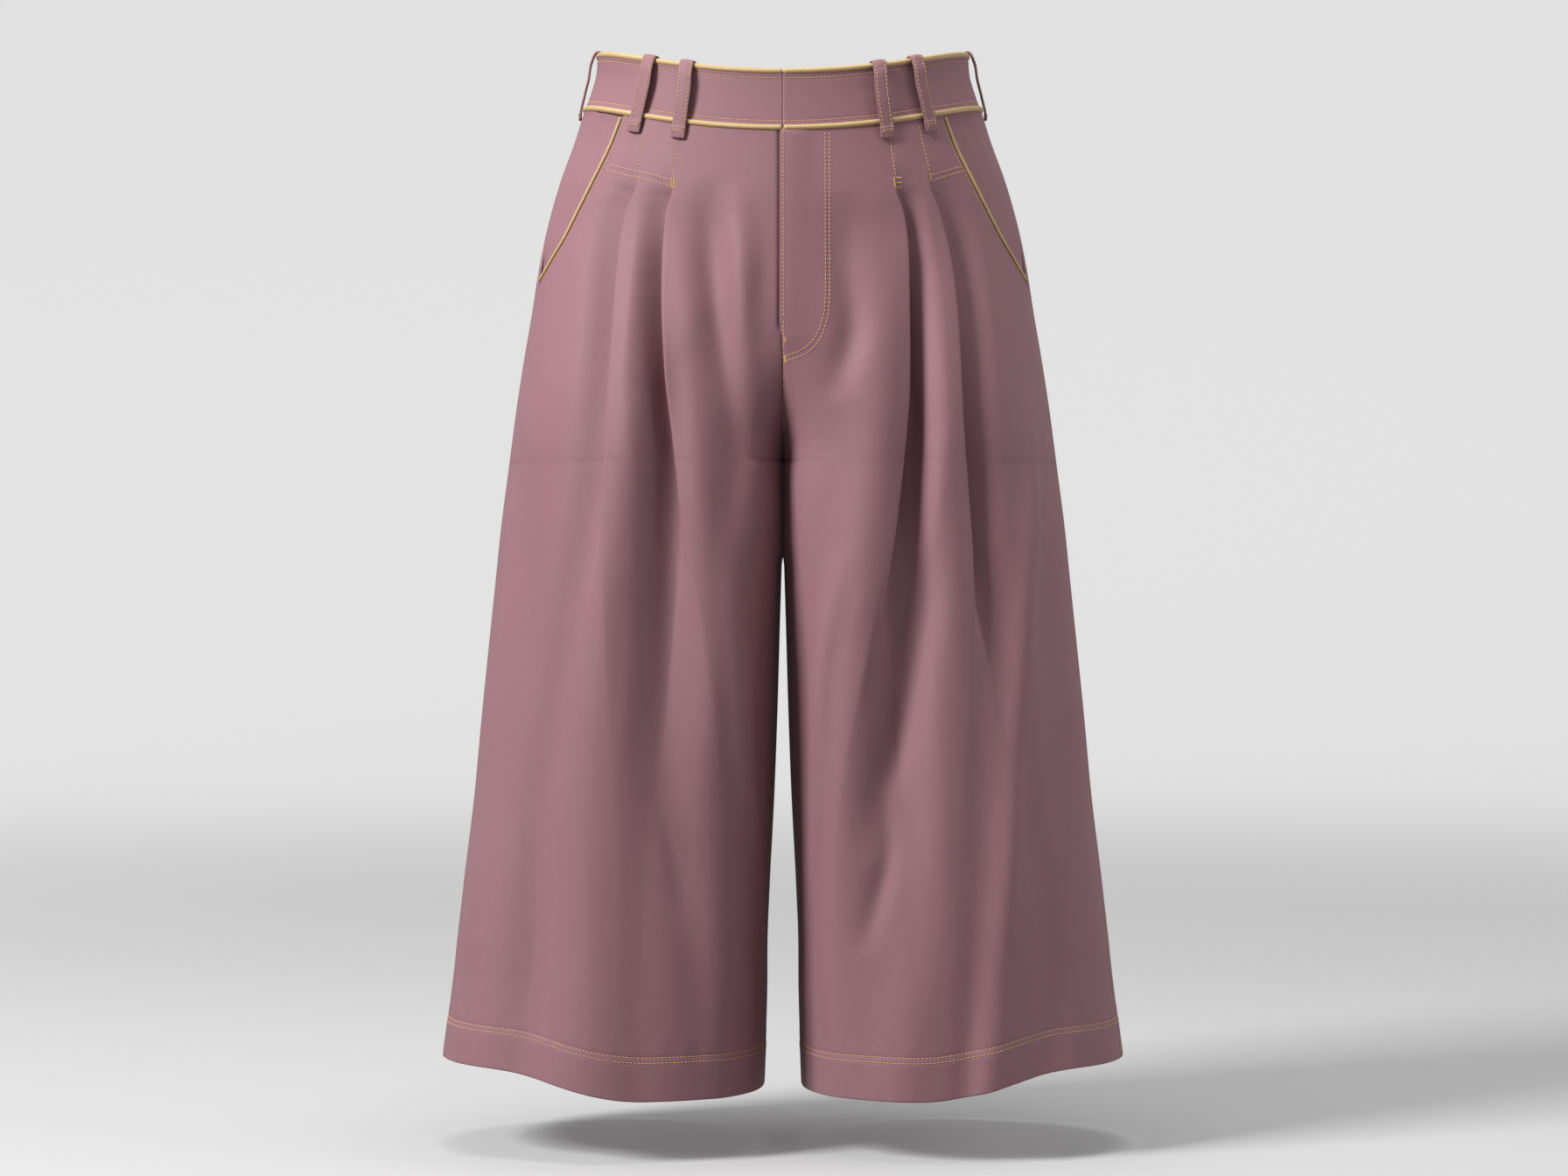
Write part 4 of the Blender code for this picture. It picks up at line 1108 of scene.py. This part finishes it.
BAR_TACKS = {
    "left": [
        BarTack(80.2, -100.6, 1, 0, 8.0, 1.5), BarTack(80.2, -104.0, 1, 0, 7.6, 1.5),
        BarTack(80.2, -107.5, 1, 0, 8.0, 1.5), BarTack(79.0, -104.2, 0.1, -1, 7.0, 1.5),
        BarTack(104.8, -99.2, 0.15, -1, 6.0, 1.8), BarTack(1.9, -216.8, 0, -1, 3.4, 1.6),
        BarTack(1.7, -230.0, 0.2, -1, 5.2, 2.2),
    ],
    "right": [BarTack(76.8, -105.2, 0, -1, 7.0, 1.8), BarTack(78.6, -105.2, 0, -1, 7.0, 1.6)],
}


def front_blocks(tree, side):
    """Every straight or curved row and every bar tack on one front panel."""
    blocks = [sewn_row(front_row(tree, *np.transpose(points), side)) for points in FRONT_STITCHES[side]]
    for tack in BAR_TACKS[side]:
        spot = front_row(tree, [tack.x, tack.x + 0.01], [tack.z, tack.z], side)
        flip = 1 if side == "left" else -1
        ahead = np.array([tack.ahead_x * flip, 0.0, tack.ahead_z])
        normal = unit(spot.normals[0])
        ahead = unit(ahead - normal * (ahead @ normal))
        blocks.append(bar_tack(spot.points[0], ahead, normal, tack.length * MM, tack.width * MM))
    return blocks


def loop_blocks(loop):
    """Two rows down a belt loop and a tack across its folded end."""
    blocks = []
    for across in LOOP_ROWS:
        share = np.linspace(0.34, 0.975, 60)
        points = mirrored(strap_point(loop, across, share, strap_thickness(share)), loop.side)
        above = mirrored(strap_point(loop, across, share, strap_thickness(share) + 1 * MM), loop.side)
        blocks.append(sewn_row(Row(points, above - points)))
    share = np.full(3, 0.925)
    across = np.array([-1, 0, 1]) * LOOP_WIDTH * 0.36
    points = mirrored(strap_point(loop, across, share, strap_thickness(share)), loop.side)
    above = mirrored(strap_point(loop, across[1], share[1], strap_thickness(share[1]) + 1 * MM), loop.side)
    ahead, normal = unit(points[2] - points[0]), unit(above - points[1])
    return blocks + [bar_tack(points[1], ahead, normal, LOOP_WIDTH * 0.72, 1.3 * MM)]


MOUTH_ROW = 2.6 * MM  # from the pocket mouth's edge to its row of stitches

hem_blocks, band_blocks, panel_blocks = [], [], []
for side in ("left", "right"):
    leg = tree_of(fronts[side], backs[side])
    for drop in HEM_ROWS:
        hem_blocks.append(sewn_row(round_row(leg, np.linspace(-np.pi, np.pi, 500), drop, side)))
    band = tree_of(bands["front", side], bands["back", side])
    for drop in BAND_ROWS:
        band_blocks.append(sewn_row(round_row(band, np.linspace(-np.pi / 2, np.pi / 2, 300), drop, side)))
    front = tree_of(fronts[side])
    drops = np.linspace(46, 165, 120) * MM
    mouth = angle_along(POCKET_MOUTH, drops)
    inside_mouth = mouth + MOUTH_ROW / ring_speed(mouth, drops)
    panel_blocks.append(sewn_row(round_row(front, inside_mouth, drops, side)))
    panel_blocks += front_blocks(front, side)
stitching = [
    thread_piece("stitches_hems", hem_blocks),
    thread_piece("stitches_waistband", band_blocks),
    thread_piece("stitches_panels", panel_blocks),
    thread_piece("stitches_belt_loops", [block for loop in LOOPS for block in loop_blocks(loop)]),
]
print("stitches:", sum(len(piece.data.vertices) for piece in stitching) // (5 * STITCH_SIDES))

# %% [markdown]
# ## Finishes
#
# Three materials make the garment: mauve twill with a soft sheen, gold satin for the piping and
# gold thread. Shader sums are written as Python expressions, so `Wire` turns each operator on a
# shader's socket into a Math node, and `Finish.node` makes any other node.


# %% Shader sums as Python expressions
class Wire:
    """A value inside a shader. Adding, subtracting and multiplying make Math nodes."""

    def __init__(self, finish, socket):
        self.finish, self.socket = finish, socket

    def maths(self, operation, *values):
        return self.finish.node("ShaderNodeMath", {"operation": operation}, dict(enumerate(values)))

    def __add__(self, other):
        return self.maths("ADD", self, other)

    def __sub__(self, other):
        return self.maths("SUBTRACT", self, other)

    def __rsub__(self, other):
        return self.maths("SUBTRACT", other, self)

    def __mul__(self, other):
        return self.maths("MULTIPLY", self, other)

    __radd__, __rmul__ = __add__, __mul__

    def sine(self):
        return self.maths("SINE", self)


class Finish:
    """A material whose nodes come from one method."""

    def __init__(self, name):
        self.material = bpy.data.materials.new(name)
        self.material.use_nodes = True
        self.nodes, self.links = self.material.node_tree.nodes, self.material.node_tree.links
        self.surface = self.nodes["Principled BSDF"]

    def fill(self, node, sockets):
        for key, value in sockets.items():
            if isinstance(value, Wire):
                self.links.new(value.socket, node.inputs[key])
            else:
                node.inputs[key].default_value = value

    def node(self, kind, settings=None, sockets=None, output=0):
        """A node of a type: its settings are set first, then the values or links of its sockets."""
        node = self.nodes.new(kind)
        for key, value in (settings or {}).items():
            setattr(node, key, value)
        self.fill(node, sockets or {})
        return Wire(self, node.outputs[output])

    def blend(self, share, first, second):
        """Between two colours: Mix keeps them as colours, where a Math node would grey them."""
        sockets = {0: share, 6: first, 7: second}
        return self.node("ShaderNodeMix", {"data_type": "RGBA"}, sockets, output=2)

    def noise(self, where, scale, detail=2.0):
        return self.node("ShaderNodeTexNoise", None, {"Vector": where, "Scale": scale, "Detail": detail})

    def bump(self, height, depth, normal=None):
        sockets = {"Height": height, "Distance": depth, "Strength": 1.0}
        if normal is not None:
            sockets["Normal"] = normal
        return self.node("ShaderNodeBump", None, sockets)

    def place_on_object(self):
        return self.node("ShaderNodeTexCoord", output="Object")

    def place_on_cloth(self):
        """Across and along the piece, in metres, from its own UV map."""
        uv = self.node("ShaderNodeUVMap", {"uv_map": "cloth"})
        parts = self.nodes.new("ShaderNodeSeparateXYZ")
        self.fill(parts, {"Vector": uv})
        return uv, Wire(self, parts.outputs["X"]), Wire(self, parts.outputs["Y"])


def mauve_twill():
    """Twill: ridges on the slant, at across + 1.7 * along, crossed by fine uneven grain."""
    twill = Finish("mauve_twill")
    uv, across, along_cloth = twill.place_on_cloth()
    where = twill.place_on_object()
    ridges = ((across + 1.7 * along_cloth) * (2 * math.pi / TWILL_PITCH)).sine()
    grain = twill.noise(uv, GRAIN_PER_METRE, 3.0)
    cloud = twill.noise(where, 14.0)
    mottle = twill.noise(where, 160.0)
    colour = twill.blend(0.35 * cloud + 0.25 * mottle + 0.4 * grain, MAUVE_DARK, MAUVE_LIGHT)
    normal = twill.bump(ridges * 0.5 + grain * 1.2, 0.05 * MM)
    normal = twill.bump(mottle, 0.10 * MM, normal)
    twill.fill(twill.surface, {
        "Base Color": colour,
        "Roughness": 0.52 + 0.18 * grain,
        "Normal": normal,
        "Sheen Weight": 0.25,
        "Sheen Roughness": 0.35,
        "Sheen Tint": (1.0, 0.82, 0.86, 1.0),
        "Specular IOR Level": 0.35,
    })
    return twill.material


def gold_satin():
    """Satin on a cord: threads cross it on the slant, and the folds of its cover run along it."""
    satin = Finish("gold_satin")
    uv, ahead, around = satin.place_on_cloth()
    threads = ((ahead + around) * (2 * math.pi / SATIN_PITCH)).sine()
    patches = satin.noise(uv, 180.0)
    grain = satin.noise(uv, 1500.0)
    colour = satin.blend(0.6 * patches + 0.4 * grain, GOLD_DARK, GOLD_LIGHT)
    satin.fill(satin.surface, {
        "Base Color": colour,
        "Roughness": 0.30 + 0.16 * patches,
        "Normal": satin.bump(0.6 * threads + 1.4 * patches, 0.08 * MM),
        "Sheen Weight": 0.15,
        "Specular IOR Level": 0.6,
    })
    return satin.material


def gold_thread():
    """Thread: one noise shades it and roughens it, and a finer one gives the twist of its ply."""
    thread = Finish("gold_thread")
    where = thread.place_on_object()
    shade = thread.noise(where, 900.0)
    thread.fill(thread.surface, {
        "Base Color": thread.blend(shade, THREAD_DARK, THREAD_LIGHT),
        "Roughness": 0.42 + 0.2 * shade,
        "Normal": thread.bump(thread.noise(where, 3500.0), 0.05 * MM),
        "Sheen Weight": 0.2,
    })
    return thread.material


TWILL_PITCH = 1.1 * MM
GRAIN_PER_METRE = 1900.0
SATIN_PITCH = 0.9 * MM
MAUVE_DARK = (0.285, 0.136, 0.160, 1.0)
MAUVE_LIGHT = (0.355, 0.176, 0.205, 1.0)
GOLD_DARK = (0.56, 0.36, 0.14, 1.0)
GOLD_LIGHT = (0.74, 0.53, 0.25, 1.0)
THREAD_DARK = (0.52, 0.31, 0.12, 1.0)
THREAD_LIGHT = (0.72, 0.46, 0.20, 1.0)

MAUVE, SATIN, THREAD = mauve_twill(), gold_satin(), gold_thread()
print("finishes:", MAUVE.name, SATIN.name, THREAD.name)

# %% [markdown]
# ## Dressing the solids
#
# Each piece of cloth now stands for its plain solid, takes its finish and rides on the garment's one body.

# %% Dressing
for side in ("left", "right"):
    dress(fronts[side], "front_" + side, finish=MAUVE, slot="mauve_cloth")
    dress(backs[side], "back_" + side, finish=MAUVE, slot="mauve_cloth")
    dress(hips[side], "pocket_facing_" + side, finish=MAUVE, slot="mauve_cloth")
    dress(pocket_pipings[side], "piping_pocket_" + side, finish=SATIN, slot="gold_piping")
    for half in ("front", "back"):
        dress(bands[half, side], f"waistband_{half}_{side}", finish=MAUVE, slot="mauve_cloth")
for loop in LOOPS:
    dress(straps[loop.name], loop.node, finish=MAUVE, slot="mauve_cloth")
dress(top_piping, "piping_waist_top", finish=SATIN, slot="gold_piping")
dress(seam_piping, "piping_waist_seam", finish=SATIN, slot="gold_piping")
for piece in stitching:
    dress(piece, finish=THREAD, slot="gold_piping")

# %% [markdown]
# ## Floor and light
#
# The garment hangs just above a pale floor that curves up into a wall all round it, so that every
# view has the same plain backdrop. The paper glows a little towards the wall, as a backdrop with
# lamps of its own does, and it gives no light back to the garment: only the soft boxes and the
# dim room light shape the folds.

# %% Floor
FLOOR = -0.795
FLAT_RADIUS, BEND_RADIUS, WALL_HEIGHT = 4.5, 2.5, 7.0
PAPER, NEAR_GLOW, PAPER_GLOW = 0.53, 0.10, 0.535
GLOW_STARTS, GLOW_FULL = 1.0, 5.0

turn = np.linspace(0, math.pi / 2, 24)
radius = np.r_[0.002, 1.0, 2.5, FLAT_RADIUS + BEND_RADIUS * np.sin(turn), FLAT_RADIUS + BEND_RADIUS]
lift = np.r_[0, 0, 0, BEND_RADIUS * (1 - np.cos(turn)), WALL_HEIGHT]
round_about = np.linspace(0, 2 * np.pi, 97)[None, :]
paper_points = np.stack([
    radius[:, None] * np.cos(round_about),
    radius[:, None] * np.sin(round_about),
    FLOOR + lift[:, None] + 0 * round_about,
], -1)
floor = closed(new_piece("floor", paper_points.reshape(-1, 3), grid_faces(*paper_points.shape[:2])))
floor.visible_diffuse = floor.visible_glossy = False


def pale_paper():
    """The glow goes from NEAR_GLOW to PAPER_GLOW as a smoothstep of the distance from the garment."""
    paper = Finish("pale_paper")
    where = paper.place_on_object()
    away = paper.node("ShaderNodeVectorMath", {"operation": "LENGTH"}, {0: where}, output="Value")
    ramp = {"interpolation_type": "SMOOTHSTEP"}
    reach = {"Value": away, "From Min": GLOW_STARTS, "From Max": GLOW_FULL}
    share = paper.node("ShaderNodeMapRange", ramp, reach)
    glow = paper.blend(share, (*[NEAR_GLOW] * 3, 1.0), (*[PAPER_GLOW] * 3, 1.0))
    paper.fill(paper.surface, {
        "Base Color": (*[PAPER] * 3, 1.0),
        "Roughness": 0.9,
        "Specular IOR Level": 0.1,
        "Emission Color": glow,
        "Emission Strength": 1.0,
    })
    return paper.material


floor.data.materials.append(pale_paper())
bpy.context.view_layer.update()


# %% Lights
def soft_box(name, place_at, aim_at, size, watts):
    """A white square lamp, unseen by the camera, turned so that its -Z looks at aim_at."""
    light = bpy.data.lights.new(name, "AREA")
    light.shape = "RECTANGLE"
    light.size, light.size_y = size
    light.energy = watts
    box = bpy.data.objects.new(name, light)
    box.location = place_at
    box.rotation_euler = (Vector(aim_at) - Vector(place_at)).to_track_quat("-Z", "Y").to_euler()
    box.visible_camera = False
    bpy.context.scene.collection.objects.link(box)


MIDDLE = (0.0, 0.0, -0.40)
ROOM_LIGHT = 0.21
soft_box("key_from_left_front", (-3.09, -2.08, 2.30), MIDDLE, (1.4, 1.4), 245)
soft_box("fill_from_right", (2.6, -0.5, 0.0), MIDDLE, (1.8, 1.8), 22)
soft_box("light_overhead", (-0.05, -0.1, 2.0), MIDDLE, (1.4, 1.4), 30)
world = bpy.data.worlds.new("studio")
world.use_nodes = True
world.node_tree.nodes["Background"].inputs["Color"].default_value = (1.0, 1.0, 1.0, 1.0)
world.node_tree.nodes["Background"].inputs["Strength"].default_value = ROOM_LIGHT
bpy.context.scene.world = world
bpy.context.scene.view_settings.view_transform = "Standard"
print("lights:", sum(o.type == "LIGHT" for o in bpy.context.scene.objects))
